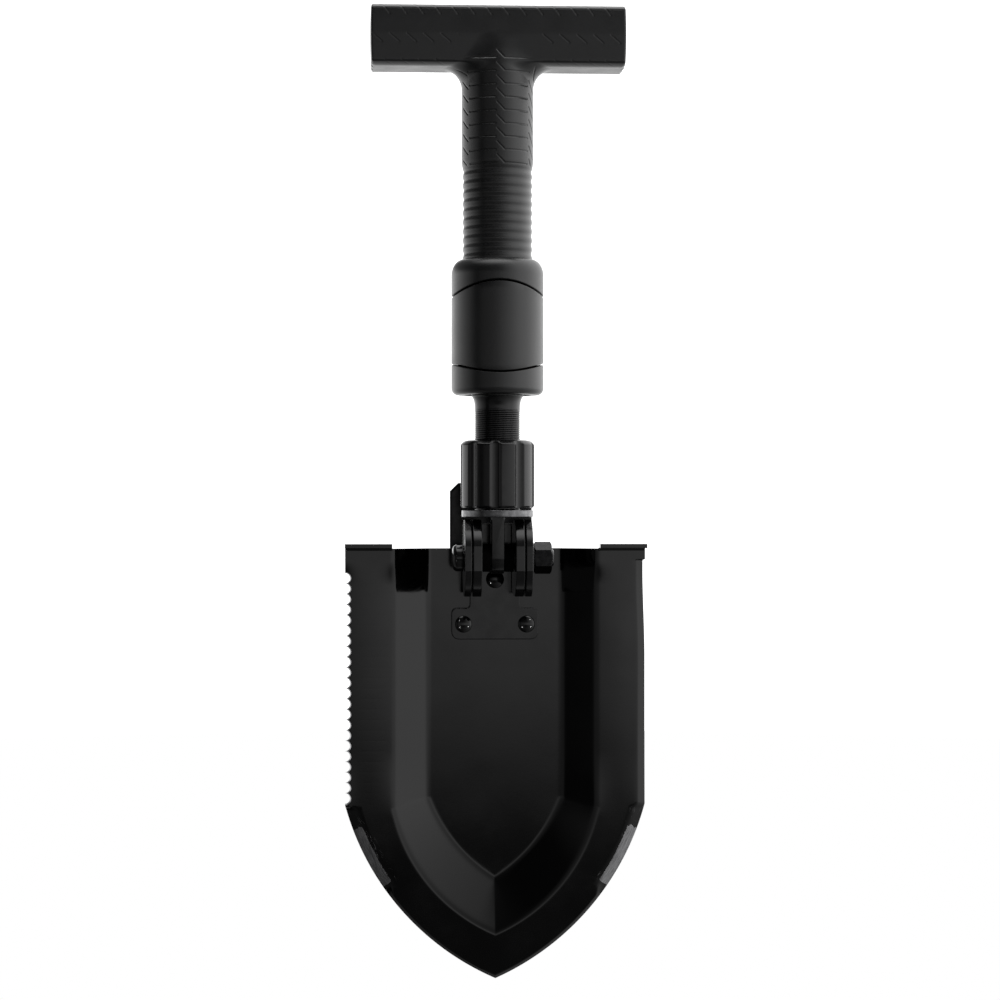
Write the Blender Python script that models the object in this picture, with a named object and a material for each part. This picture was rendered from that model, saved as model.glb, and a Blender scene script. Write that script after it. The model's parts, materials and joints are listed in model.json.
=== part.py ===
"""Folding shovel with a telescopic T handle.

Origin: the centre of the T bar's top face. +Z runs up the handle, the blade hangs towards -Z,
+X is the hinge bolt's axis, and -Y is the blade's hollow side. Metres throughout.

Every height below is measured from the hinge bolt's axis. The empty hinge_datum stands on that
axis, below the origin, and holds all the other objects.
"""

import math

import bmesh
import bpy
from mathutils import Matrix, Vector

MM = 0.001

# Running gap between neighbouring pieces
GAP = 0.3 * MM

# Blade
BLADE_HALF_WIDTH = 71.2 * MM
BLADE_TOP_Z = 4.0 * MM
BLADE_SHOULDER_Z = -117.5 * MM
BLADE_TIP_Z = -200.0 * MM
POINT_ARC_RADIUS = 126.0 * MM
SHEET_THICKNESS = 2.0 * MM
PANEL_Y = 26.5 * MM
FLANGE_Y = 17.5 * MM
OUTER_FOLD_X = 48.3 * MM
OUTER_FOLD_END_Z = -119.0 * MM
OUTER_FOLD_TIP_Z = -178.0 * MM
OUTER_FOLD_RADIUS = 83.0 * MM
INNER_FOLD_X = 32.0 * MM
INNER_FOLD_END_Z = -115.0 * MM
INNER_FOLD_TIP_Z = -154.0 * MM
INNER_FOLD_RADIUS = 79.0 * MM
FOLD_STEPS = 9
POINT_STEPS = 12
SCALLOP_COUNT = 22
SCALLOP_PITCH = 4.96 * MM
SCALLOP_TOP_Z = -7.6 * MM
SCALLOP_DEPTH = 2.3 * MM
SCALLOP_STEPS = 4
TAB_INNER_X = 49.0 * MM
TAB_REACH = 10.0 * MM
TAB_TOP_Z = 6.3 * MM

# Hinge plates, in the blade's half
EAR_RADIUS = 18.8 * MM
EAR_FLAT = 17.9 * MM
INNER_EAR_X = (7.8 * MM, 11.9 * MM)
OUTER_EAR_X = (12.6 * MM, 15.7 * MM)
BRACKET_WEB = 3.5 * MM
BRACKET_WIDE = 20.7 * MM
BRACKET_WIDE_Z = (-39.4 * MM, -24.5 * MM)
BRACKET_TOP_Z = 16.0 * MM
SADDLE_PLATE = 3.2 * MM
SADDLE_X = (-21.3 * MM, 18.0 * MM)
SADDLE_Z = (-39.0 * MM, 35.2 * MM)
SADDLE_ARM_Z = BLADE_TOP_Z + 0.7 * MM
SADDLE_CORNER = 4.0 * MM

# Hinge bolt (M8), its nut, washer and spacers
BOLT_RADIUS = 4.0 * MM
BOLT_HOLE_RADIUS = BOLT_RADIUS + 0.1 * MM
BOLT_HEAD_RADIUS = 6.4 * MM
BOLT_HEAD_X = -21.2 * MM
HEX_ACROSS_FLATS = 13.0 * MM
HEX_NUT_X = (17.0 * MM, 25.2 * MM)
PIVOT_WASHER_RADIUS = 8.0 * MM
PIVOT_WASHER_THICKNESS = 0.7 * MM
SPACER_RADIUS = 6.6 * MM

# Rivets
RIVET_SHANK_RADIUS = 2.4 * MM
RIVET_HEAD_RADIUS = 4.1 * MM
RIVET_HEAD_HEIGHT = 1.7 * MM
RIVET_TAIL_HEIGHT = 1.2 * MM
CENTRE_RIVET_HEAD_RADIUS = 4.35 * MM
SIDE_RIVET_X = 15.0 * MM
SIDE_RIVET_Z = -32.1 * MM
CENTRE_RIVET_Z = -10.7 * MM

# Stem
THREAD_RADIUS = 10.6 * MM
STEM_BOTTOM_Z = 19.4 * MM
NECK_BOTTOM_Z = 69.8 * MM
NECK_TOP_Z = 75.4 * MM
NECK_RADIUS = 12.5 * MM
PLUG_TOP_Z = 104.0 * MM
TONGUE_HALF_THICKNESS = 3.0 * MM
TONGUE_RADIUS = 7.4 * MM
STEM_PIN_RADIUS = 2.0 * MM
STEM_PIN_Z = 92.0 * MM

# Lock nut and thrust washer
NUT_Z = (23.3 * MM, 55.0 * MM)
NUT_RADIUS = 17.2 * MM
NUT_TOP_RADIUS = 12.5 * MM
NUT_BORE_RADIUS = 10.9 * MM
NUT_CHAMFER = 3.4 * MM
FLUTE_COUNT = 9
FLUTE_RADIUS = 3.4 * MM
FLUTE_AXIS_RADIUS = 19.3 * MM
FLUTE_FIRST_DEG = -96.0
WASHER_Z = (19.1 * MM, 22.3 * MM)
WASHER_RADIUS = 16.8 * MM

# Telescopic tubes
INNER_TUBE_RADIUS = 12.5 * MM
INNER_TUBE_BORE = 10.9 * MM
INNER_TUBE_Z = (76.2 * MM, 234.0 * MM)
OUTER_TUBE_RADIUS = 14.2 * MM
OUTER_TUBE_BORE = 12.9 * MM
OUTER_TUBE_Z = (80.5 * MM, 250.0 * MM)
BUSH_Z = (80.8 * MM, 92.0 * MM)
BUSH_SEAT_RADIUS = 13.5 * MM
BUSH_CLEARANCE = 0.15 * MM
EXPANDER_FLANGE = 1.6 * MM
EXPANDER_PLUG_DEPTH = 12.0 * MM
EXPANDER_STUD_RADIUS = 4.0 * MM
EXPANDER_SLEEVE_RADIUS = 12.5 * MM
EXPANDER_SLEEVE_Z = (236.2 * MM, 245.5 * MM)
EXPANDER_SLOT_WIDTH = 1.5 * MM
TUBE_PLUG_TOP_Z = 252.0 * MM

# Handle mouldings
GRIP_RADIUS = 16.7 * MM
RIB_RADIUS = 16.2 * MM
RIB_TOP_Z = 182.5 * MM
SHOULDER_TOP_Z = 143.0 * MM
SHOULDER_Z = 136.0 * MM
COLLAR_RADIUS = 21.5 * MM
TOP_SEAM_Z = 124.8 * MM
TOP_SEAM_WAVE = 3.3 * MM
BOTTOM_SEAM_Z = 88.2 * MM
BOTTOM_SEAM_WAVE = 2.1 * MM
SEAM_GAP = 0.6 * MM
RING_BOTTOM_Z = 75.9 * MM
RING_EDGE_RADIUS = 3.0 * MM
WIPER_Z = (76.2 * MM, 78.6 * MM)
WIPER_RADIUS = 15.6 * MM
WIPER_CLEARANCE = 0.2 * MM
BAR_HALF_LENGTH = 59.4 * MM
BAR_HALF_DEPTH = 14.5 * MM
BAR_Z = (228.6 * MM, 256.0 * MM)
BAR_TOP_CHAMFER = 3.0 * MM
BAR_BOTTOM_CHAMFER = 1.2 * MM
FILLET_RADIUS = 9.0 * MM
FILLET_INSET = 1.0 * MM

ROUND_SEGMENTS = 40
SMALL_SEGMENTS = 20
SMOOTH_ANGLE = math.radians(30.0)
DATUM = "hinge_datum"

STEM_COLOUR = (0.030, 0.031, 0.034, 1.0)
BLADE_COLOUR = (0.012, 0.012, 0.013, 1.0)
GRIP_COLOUR = (0.022, 0.023, 0.025, 1.0)
STEEL_COLOUR = (0.55, 0.55, 0.56, 1.0)
TUBE_COLOUR = (0.60, 0.61, 0.63, 1.0)
BUSH_COLOUR = (0.75, 0.75, 0.72, 1.0)


def clear_scene():
    for obj in list(bpy.data.objects):
        bpy.data.objects.remove(obj)


def make_material(name, colour, roughness, metallic):
    material = bpy.data.materials.new(name)
    material.use_nodes = True
    shader = material.node_tree.nodes["Principled BSDF"]
    shader.inputs["Base Color"].default_value = colour
    shader.inputs["Roughness"].default_value = roughness
    shader.inputs["Metallic"].default_value = metallic
    return material


def make_empty(name, location, parent):
    empty = bpy.data.objects.new(name, None)
    empty.location = location
    empty.parent = parent
    bpy.context.scene.collection.objects.link(empty)
    return empty


def object_from_bmesh(name, mesh, material, parent=None):
    """Links a finished bmesh, measured from the datum, as an object under its joint's empty."""
    bmesh.ops.recalc_face_normals(mesh, faces=mesh.faces)
    data = bpy.data.meshes.new(name)
    if parent is None:
        parent = bpy.data.objects[DATUM]
    else:
        mesh.transform(Matrix.Translation(-parent.location))
    mesh.to_mesh(data)
    mesh.free()
    data.shade_smooth()
    data.set_sharp_from_angle(angle=SMOOTH_ANGLE)
    if material is not None:
        data.materials.append(material)
    obj = bpy.data.objects.new(name, data)
    obj.parent = parent
    bpy.context.scene.collection.objects.link(obj)
    return obj


def as_cutter(obj):
    obj.hide_render = True
    obj.display_type = "WIRE"
    return obj


def add_boolean(obj, tool, operation):
    modifier = obj.modifiers.new(operation.lower() + "_" + tool.name, "BOOLEAN")
    modifier.object = tool
    modifier.operation = operation
    modifier.solver = "EXACT"
    as_cutter(tool)


def arc_points(centre, radius, start_deg, end_deg, steps):
    """Points on an arc about centre, both ends included."""
    points = []
    for i in range(steps + 1):
        angle = math.radians(start_deg + (end_deg - start_deg) * i / steps)
        points.append((centre[0] + radius * math.cos(angle), centre[1] + radius * math.sin(angle)))
    return points


def arc_between(start, end, radius, steps):
    """Arc from start to end that bulges away from the axis u = 0, both ends included."""
    a = Vector(start)
    b = Vector(end)
    half = (b - a) / 2.0
    rise = math.sqrt(radius ** 2 - half.length ** 2)
    normal = Vector((-half.y, half.x)).normalized()
    if normal.x > 0:
        normal = -normal
    centre = (a + b) / 2.0 + normal * rise
    first = math.atan2(a.y - centre.y, a.x - centre.x)
    last = math.atan2(b.y - centre.y, b.x - centre.x)
    points = []
    for i in range(steps + 1):
        angle = first + (last - first) * i / steps
        points.append((centre.x + radius * math.cos(angle), centre.y + radius * math.sin(angle)))
    return points


def turned_by(profile_at, segments):
    """Solid about +Z whose closed loop of (radius, z) points is a function of the angle.

    The facets, not the edges between them, face along the axes, so that a round piece rests steadily.
    """
    mesh = bmesh.new()
    profiles = []
    rings = []
    for i in range(segments):
        angle = 2.0 * math.pi * (i + 0.5) / segments
        profile = profile_at(angle)
        profiles.append(profile)
        rings.append([mesh.verts.new((r * math.cos(angle), r * math.sin(angle), z)) for r, z in profile])
    count = len(rings[0])
    for i in range(segments):
        here = rings[i]
        there = rings[(i + 1) % segments]
        for k in range(count):
            n = (k + 1) % count
            if profiles[i][k][0] > 0.0 or profiles[i][n][0] > 0.0:
                mesh.faces.new((here[k], here[n], there[n], there[k]))
    bmesh.ops.remove_doubles(mesh, verts=mesh.verts, dist=0.00001)
    return mesh


def turned(profile, segments):
    """Solid of revolution about +Z of one closed loop of (radius, z) points."""
    return turned_by(lambda angle: profile, segments)


def prism(outline, axis, low, high):
    """Extrudes an outline along axis 'X', 'Y' or 'Z'. Its points are the other two coordinates in order."""
    mesh = bmesh.new()
    layers = []
    for level in (low, high):
        layer = []
        for u, v in outline:
            place = {"X": (level, u, v), "Y": (u, level, v), "Z": (u, v, level)}[axis]
            layer.append(mesh.verts.new(place))
        layers.append(layer)
    count = len(outline)
    mesh.faces.new(layers[0])
    mesh.faces.new(list(reversed(layers[1])))
    for k in range(count):
        n = (k + 1) % count
        mesh.faces.new((layers[0][k], layers[1][k], layers[1][n], layers[0][n]))
    return mesh


def block(x_range, y_range, z_range):
    x_low, x_high = x_range
    y_low, y_high = y_range
    outline = [(x_low, y_low), (x_high, y_low), (x_high, y_high), (x_low, y_high)]
    return prism(outline, "Z", z_range[0], z_range[1])


def tube_profile(bore, radius, z_range):
    return [(bore, z_range[0]), (radius, z_range[0]), (radius, z_range[1]), (bore, z_range[1])]


def along_x(mesh, x=0.0):
    """Turns a solid of revolution so that its +Z axis points along +X."""
    mesh.transform(Matrix.Translation((x, 0.0, 0.0)) @ Matrix.Rotation(math.pi / 2.0, 4, "Y"))
    return mesh


def along_y(mesh, x, z):
    """Turns a solid of revolution so that its +Z axis points along +Y, at the given x and z."""
    mesh.transform(Matrix.Translation((x, 0.0, z)) @ Matrix.Rotation(-math.pi / 2.0, 4, "X"))
    return mesh


# Blade sheet

def blade_right_edge():
    """Outline of the plain side from the top corner to the tip, as (x, z)."""
    shoulder = (BLADE_HALF_WIDTH, BLADE_SHOULDER_Z)
    tip = (0.0, BLADE_TIP_Z)
    return [(BLADE_HALF_WIDTH, BLADE_TOP_Z)] + arc_between(shoulder, tip, POINT_ARC_RADIUS, POINT_STEPS)


def blade_left_edge():
    """Outline of the saw side from the tip to the top corner, as (x, z)."""
    points = [(-x, z) for x, z in reversed(blade_right_edge())][1:-1]
    for tooth in range(SCALLOP_COUNT - 1, -1, -1):
        top = SCALLOP_TOP_Z - tooth * SCALLOP_PITCH
        for i in range(1, SCALLOP_STEPS + 1):
            angle = math.pi * i / SCALLOP_STEPS
            z = top - SCALLOP_PITCH * (1.0 + math.cos(angle)) / 2.0
            points.append((-BLADE_HALF_WIDTH + SCALLOP_DEPTH * math.sin(angle), z))
    points.append((-BLADE_HALF_WIDTH, BLADE_TOP_Z))
    return points


def fold_line(x, end_z, tip_z, radius):
    """One fold from the top edge to its point on the centre line, as (x, z)."""
    return [(x, BLADE_TOP_Z)] + arc_between((x, end_z), (0.0, tip_z), radius, FOLD_STEPS)


def mirrored(points):
    return [(-x, z) for x, z in points]


def blade_solid():
    """Flat flange, sloping walls and recessed panel, as one sheet of even depth."""
    inner = fold_line(INNER_FOLD_X, INNER_FOLD_END_Z, INNER_FOLD_TIP_Z, INNER_FOLD_RADIUS)
    outer = fold_line(OUTER_FOLD_X, OUTER_FOLD_END_Z, OUTER_FOLD_TIP_Z, OUTER_FOLD_RADIUS)
    mesh = bmesh.new()
    cache = {}

    def vertex(point, y):
        key = (round(point[0], 7), round(point[1], 7), round(y, 7))
        if key not in cache:
            cache[key] = mesh.verts.new((point[0], y, point[1]))
        return cache[key]

    for depth in (0.0, SHEET_THICKNESS):
        flip = depth > 0.0
        panel_y = PANEL_Y + depth
        flange_y = FLANGE_Y + depth
        faces = []
        left_inner = mirrored(inner)
        faces.append([vertex(p, panel_y) for p in inner[:-1] + list(reversed(left_inner))])
        for side_inner, side_outer in ((inner, outer), (left_inner, mirrored(outer))):
            for k in range(len(inner) - 1):
                quad = [
                    vertex(side_inner[k], panel_y),
                    vertex(side_outer[k], flange_y),
                    vertex(side_outer[k + 1], flange_y),
                    vertex(side_inner[k + 1], panel_y),
                ]
                faces.append(quad)
        right = blade_right_edge()
        left = blade_left_edge()
        faces.append([vertex(p, flange_y) for p in right + list(reversed(outer))])
        faces.append([vertex(p, flange_y) for p in [right[-1]] + left + mirrored(outer)])
        for corners in faces:
            mesh.faces.new(list(reversed(corners)) if flip else corners)
    mesh.normal_update()

    rim = blade_right_edge() + blade_left_edge()
    for a, b in zip(rim[:-1], rim[1:]):
        low = [vertex(a, FLANGE_Y), vertex(b, FLANGE_Y)]
        high = [vertex(b, FLANGE_Y + SHEET_THICKNESS), vertex(a, FLANGE_Y + SHEET_THICKNESS)]
        mesh.faces.new(low + high)
    top = [
        ((-BLADE_HALF_WIDTH, BLADE_TOP_Z), FLANGE_Y),
        ((-OUTER_FOLD_X, BLADE_TOP_Z), FLANGE_Y),
        ((-INNER_FOLD_X, BLADE_TOP_Z), PANEL_Y),
        ((INNER_FOLD_X, BLADE_TOP_Z), PANEL_Y),
        ((OUTER_FOLD_X, BLADE_TOP_Z), FLANGE_Y),
        ((BLADE_HALF_WIDTH, BLADE_TOP_Z), FLANGE_Y),
    ]
    for (a, ya), (b, yb) in zip(top[:-1], top[1:]):
        front = [vertex(a, ya), vertex(b, yb)]
        back = [vertex(b, yb + SHEET_THICKNESS), vertex(a, ya + SHEET_THICKNESS)]
        mesh.faces.new(front + back)
    walls = [face for face in mesh.faces if len(face.verts) == 4 and abs(face.normal.y) > 0.5]
    bmesh.ops.triangulate(mesh, faces=walls)
    return mesh


def foot_tab(side):
    x_range = sorted((side * TAB_INNER_X, side * (BLADE_HALF_WIDTH - GAP)))
    y_range = (FLANGE_Y - TAB_REACH, FLANGE_Y + 0.9 * SHEET_THICKNESS)
    return block(x_range, y_range, (TAB_TOP_Z - SHEET_THICKNESS - 0.6 * MM, TAB_TOP_Z))


def rivet_holes(radius):
    """Three cutters through the blade and its brackets."""
    places = [(-SIDE_RIVET_X, SIDE_RIVET_Z), (SIDE_RIVET_X, SIDE_RIVET_Z), (0.0, CENTRE_RIVET_Z)]
    cutters = []
    for index, (x, z) in enumerate(places):
        hole = along_y(turned(tube_profile(0.0, radius, (10.0 * MM, 40.0 * MM)), SMALL_SEGMENTS), x, z)
        cutters.append(object_from_bmesh(f"rivet_hole_{index}", hole, None))
    return cutters


def build_blade(parent, material, holes):
    blade = object_from_bmesh("blade", blade_solid(), material, parent)
    for side, name in ((-1, "tab_left"), (1, "tab_right")):
        add_boolean(blade, object_from_bmesh(name, foot_tab(side), None), "UNION")
    for hole in holes:
        add_boolean(blade, hole, "DIFFERENCE")


# Hinge brackets

def ear_outline(back_y, arm_low, arm_high):
    """Disc about the hinge with flats above, in front and below, and an arm back to back_y, as (y, z)."""
    corner = math.degrees(math.acos(EAR_FLAT / EAR_RADIUS))
    points = [(back_y, arm_low)]
    points.append((math.sqrt(EAR_RADIUS ** 2 - arm_low ** 2), arm_low))
    low_start = math.degrees(math.asin(arm_low / EAR_RADIUS))
    points += arc_points((0.0, 0.0), EAR_RADIUS, low_start, -90.0 + corner, 5)[1:]
    points += arc_points((0.0, 0.0), EAR_RADIUS, -90.0 - corner, -180.0 + corner, 5)
    points += arc_points((0.0, 0.0), EAR_RADIUS, 180.0 - corner, 90.0 + corner, 5)
    high_end = math.degrees(math.asin(arm_high / EAR_RADIUS))
    points += arc_points((0.0, 0.0), EAR_RADIUS, 90.0 - corner, high_end, 4)
    points.append((back_y, arm_high))
    return points


def bolt_hole(name, x_range, radius):
    return object_from_bmesh(name, along_x(turned(tube_profile(0.0, radius, x_range), SMALL_SEGMENTS)), None)


def rounded_plate(half_width, z_range, corner):
    """Plate outline in x and z with four rounded corners."""
    low, high = z_range
    x = half_width - corner
    points = arc_points((x, low + corner), corner, -90.0, 0.0, 4)
    points += arc_points((x, high - corner), corner, 0.0, 90.0, 4)
    points += arc_points((-x, high - corner), corner, 90.0, 180.0, 4)
    points += arc_points((-x, low + corner), corner, 180.0, 270.0, 4)
    return points


def build_front_bracket(parent, material, holes):
    back = PANEL_Y - GAP
    front = back - BRACKET_WEB
    low_z = -EAR_RADIUS + 2.0 * MM
    plate = rounded_plate(BRACKET_WIDE, BRACKET_WIDE_Z, 4.0 * MM)
    bracket = object_from_bmesh("front_bracket", prism(plate, "Y", front, back), material, parent)
    x_low, x_high = INNER_EAR_X
    neck_z = (BRACKET_WIDE_Z[1] - 5.0 * MM, BRACKET_TOP_Z)
    neck = block((-x_high, x_high), (front, back), neck_z)
    add_boolean(bracket, object_from_bmesh("bracket_neck", neck, None), "UNION")
    for side, name in ((-1, "ear_inner_left"), (1, "ear_inner_right")):
        outline = ear_outline(back - 1.0 * MM, low_z, BRACKET_TOP_Z - 1.0 * MM)
        ear = prism(outline, "X", *sorted((side * x_low, side * x_high)))
        add_boolean(bracket, object_from_bmesh(name, ear, None), "UNION")
    add_boolean(bracket, bolt_hole("bracket_bore", (-20.0 * MM, 20.0 * MM), BOLT_HOLE_RADIUS), "DIFFERENCE")
    for hole in holes:
        add_boolean(bracket, hole, "DIFFERENCE")


def saddle_outline():
    """Rear plate in x and z, with its two top corners cut at 45 degrees."""
    left, right = SADDLE_X
    low, high = SADDLE_Z
    cut_z = high - SADDLE_CORNER
    outline = [(left, low), (right, low), (right, cut_z), (right - SADDLE_CORNER, high)]
    outline += [(left + SADDLE_CORNER, high), (left, cut_z)]
    return outline


def build_rear_saddle(parent, material, holes):
    front = PANEL_Y + SHEET_THICKNESS + GAP
    back = front + SADDLE_PLATE
    saddle = object_from_bmesh("rear_saddle", prism(saddle_outline(), "Y", front, back), material, parent)
    x_low, x_high = OUTER_EAR_X
    for side, name in ((-1, "ear_outer_left"), (1, "ear_outer_right")):
        outline = ear_outline(back - 1.0 * MM, SADDLE_ARM_Z, BRACKET_TOP_Z)
        ear = prism(outline, "X", *sorted((side * x_low, side * x_high)))
        add_boolean(saddle, object_from_bmesh(name, ear, None), "UNION")
    add_boolean(saddle, bolt_hole("saddle_bore", (-20.0 * MM, 20.0 * MM), BOLT_HOLE_RADIUS), "DIFFERENCE")
    for hole in holes:
        add_boolean(saddle, hole, "DIFFERENCE")


def build_rivet(name, x, z, head_radius, parent, material):
    """Domed head on the bracket, shank through all three plates, flat head behind."""
    seat = PANEL_Y - GAP - BRACKET_WEB - GAP
    end = PANEL_Y + SHEET_THICKNESS + GAP + SADDLE_PLATE + GAP
    shank = RIVET_SHANK_RADIUS
    dome = []
    for i in range(4):
        angle = math.radians(90.0 * i / 3)
        dome.append((head_radius * math.sin(angle), seat - RIVET_HEAD_HEIGHT * math.cos(angle)))
    tail = [(shank, seat), (shank, end), (head_radius, end)]
    tail += [(head_radius, end + RIVET_TAIL_HEIGHT), (0.0, end + RIVET_TAIL_HEIGHT)]
    object_from_bmesh(name, along_y(turned(dome + tail, SMALL_SEGMENTS), x, z), material, parent)


def build_hinge_bolt(parent, black, steel):
    """Round-headed bolt, hexagon nut with its washer, and two spacers inside the fork."""
    shank_end = HEX_NUT_X[1] + 1.0 * MM
    head_x = -OUTER_EAR_X[1] - GAP
    rim = BOLT_HEAD_RADIUS
    bevel = 0.9 * MM
    profile = [(0.0, BOLT_HEAD_X), (rim - bevel, BOLT_HEAD_X), (rim, BOLT_HEAD_X + bevel), (rim, head_x)]
    profile += [(BOLT_RADIUS, head_x), (BOLT_RADIUS, shank_end), (0.0, shank_end)]
    object_from_bmesh("pivot_bolt", along_x(turned(profile, SMALL_SEGMENTS)), black, parent)

    washer_x = (OUTER_EAR_X[1] + GAP, OUTER_EAR_X[1] + GAP + PIVOT_WASHER_THICKNESS)
    washer = turned(tube_profile(BOLT_HOLE_RADIUS, PIVOT_WASHER_RADIUS, washer_x), SMALL_SEGMENTS)
    object_from_bmesh("pivot_washer", along_x(washer), black, parent)

    outer = HEX_ACROSS_FLATS / math.sqrt(3.0)
    hexagon = arc_points((0.0, 0.0), outer, 90.0, 390.0, 5)
    nut = object_from_bmesh("pivot_nut", prism(hexagon, "X", *HEX_NUT_X), steel, parent)
    add_boolean(nut, bolt_hole("nut_bore", (10.0 * MM, 30.0 * MM), BOLT_HOLE_RADIUS), "DIFFERENCE")

    inner = TONGUE_HALF_THICKNESS + GAP
    outer_end = INNER_EAR_X[0] - GAP
    for side, name in ((-1, "spacer_left"), (1, "spacer_right")):
        span = sorted((side * inner, side * outer_end))
        ring = turned(tube_profile(BOLT_HOLE_RADIUS, SPACER_RADIUS, span), SMALL_SEGMENTS)
        object_from_bmesh(name, along_x(ring), black, parent)


# Stem and lock nut

def build_threaded_stem(material):
    profile = [(0.0, STEM_BOTTOM_Z), (THREAD_RADIUS - 1.0 * MM, STEM_BOTTOM_Z)]
    profile += [(THREAD_RADIUS, STEM_BOTTOM_Z + 1.0 * MM), (THREAD_RADIUS, NECK_BOTTOM_Z)]
    flare_height = NECK_TOP_Z - NECK_BOTTOM_Z
    for i in range(1, 5):
        angle = math.radians(90.0 * i / 4)
        radius = THREAD_RADIUS + (NECK_RADIUS - THREAD_RADIUS) * (1.0 - math.cos(angle))
        profile.append((radius, NECK_BOTTOM_Z + flare_height * math.sin(angle)))
    plug = INNER_TUBE_BORE - GAP
    profile += [(NECK_RADIUS, INNER_TUBE_Z[0] - GAP), (plug, INNER_TUBE_Z[0] - GAP)]
    profile += [(plug, PLUG_TOP_Z), (0.0, PLUG_TOP_Z)]
    stem = object_from_bmesh("threaded_stem", turned(profile, ROUND_SEGMENTS), material)

    r = TONGUE_RADIUS
    outline = [(r, STEM_BOTTOM_Z + 2.0 * MM)] + arc_points((0.0, 0.0), r, 0.0, -180.0, 12)
    outline.append((-r, STEM_BOTTOM_Z + 2.0 * MM))
    tongue = prism(outline, "X", -TONGUE_HALF_THICKNESS, TONGUE_HALF_THICKNESS)
    add_boolean(stem, object_from_bmesh("tongue", tongue, None), "UNION")
    add_boolean(stem, bolt_hole("tongue_eye", (-8.0 * MM, 8.0 * MM), BOLT_HOLE_RADIUS), "DIFFERENCE")
    pin_hole = bolt_hole("stem_pin_hole", (-16.0 * MM, 16.0 * MM), STEM_PIN_RADIUS + GAP)
    pin_hole.location.z = STEM_PIN_Z
    add_boolean(stem, pin_hole, "DIFFERENCE")
    return pin_hole


def build_lock_nut(parent, material):
    low, high = NUT_Z
    bevel = 0.8 * MM
    profile = [(NUT_BORE_RADIUS, low), (NUT_RADIUS - bevel, low), (NUT_RADIUS, low + bevel)]
    profile += [(NUT_RADIUS, high - NUT_CHAMFER), (NUT_TOP_RADIUS, high), (NUT_BORE_RADIUS, high)]
    nut = object_from_bmesh("lock_nut", turned(profile, ROUND_SEGMENTS), material, parent)
    for index in range(FLUTE_COUNT):
        angle = math.radians(FLUTE_FIRST_DEG + 360.0 * index / FLUTE_COUNT)
        groove = turned(tube_profile(0.0, FLUTE_RADIUS, (low - 5.0 * MM, high + 5.0 * MM)), 16)
        place = (FLUTE_AXIS_RADIUS * math.cos(angle), FLUTE_AXIS_RADIUS * math.sin(angle), 0.0)
        groove.transform(Matrix.Translation(place))
        add_boolean(nut, object_from_bmesh(f"flute_{index}", groove, None), "DIFFERENCE")


def build_thrust_washer(parent, material):
    low, high = WASHER_Z
    bevel = 0.5 * MM
    profile = [(NUT_BORE_RADIUS, low), (WASHER_RADIUS - bevel, low), (WASHER_RADIUS, low + bevel)]
    profile += [(WASHER_RADIUS, high - bevel), (WASHER_RADIUS - bevel, high), (NUT_BORE_RADIUS, high)]
    object_from_bmesh("thrust_washer", turned(profile, ROUND_SEGMENTS), material, parent)


# Telescopic tubes and twist lock

def build_inner_tube(pin_hole, tube_material, steel):
    profile = tube_profile(INNER_TUBE_BORE, INNER_TUBE_RADIUS, INNER_TUBE_Z)
    tube = object_from_bmesh("inner_tube", turned(profile, ROUND_SEGMENTS), tube_material)
    add_boolean(tube, pin_hole, "DIFFERENCE")

    half = INNER_TUBE_RADIUS - GAP
    pin = along_x(turned(tube_profile(0.0, STEM_PIN_RADIUS, (-half, half)), SMALL_SEGMENTS))
    pin.transform(Matrix.Translation((0.0, 0.0, STEM_PIN_Z)))
    object_from_bmesh("stem_pin", pin, steel)


def build_expander(parent, screw_material, sleeve_material):
    top = INNER_TUBE_Z[1]
    plug = INNER_TUBE_BORE - GAP
    flange_top = top + GAP + EXPANDER_FLANGE
    stud_top = EXPANDER_SLEEVE_Z[1] + 1.0 * MM
    profile = [(0.0, top - EXPANDER_PLUG_DEPTH), (plug, top - EXPANDER_PLUG_DEPTH), (plug, top + GAP)]
    profile += [(INNER_TUBE_RADIUS, top + GAP), (INNER_TUBE_RADIUS, flange_top)]
    profile += [(EXPANDER_STUD_RADIUS, flange_top), (EXPANDER_STUD_RADIUS, stud_top), (0.0, stud_top)]
    object_from_bmesh("expander_screw", turned(profile, ROUND_SEGMENTS), screw_material)

    profile = tube_profile(EXPANDER_STUD_RADIUS + GAP, EXPANDER_SLEEVE_RADIUS, EXPANDER_SLEEVE_Z)
    sleeve = object_from_bmesh("expander_sleeve", turned(profile, ROUND_SEGMENTS), sleeve_material, parent)
    half = EXPANDER_SLOT_WIDTH / 2.0
    slot_z = (EXPANDER_SLEEVE_Z[0] - 5.0 * MM, EXPANDER_SLEEVE_Z[1] + 5.0 * MM)
    slot = block((0.0, 20.0 * MM), (-half, half), slot_z)
    add_boolean(sleeve, object_from_bmesh("sleeve_slot", slot, None), "DIFFERENCE")


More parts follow.
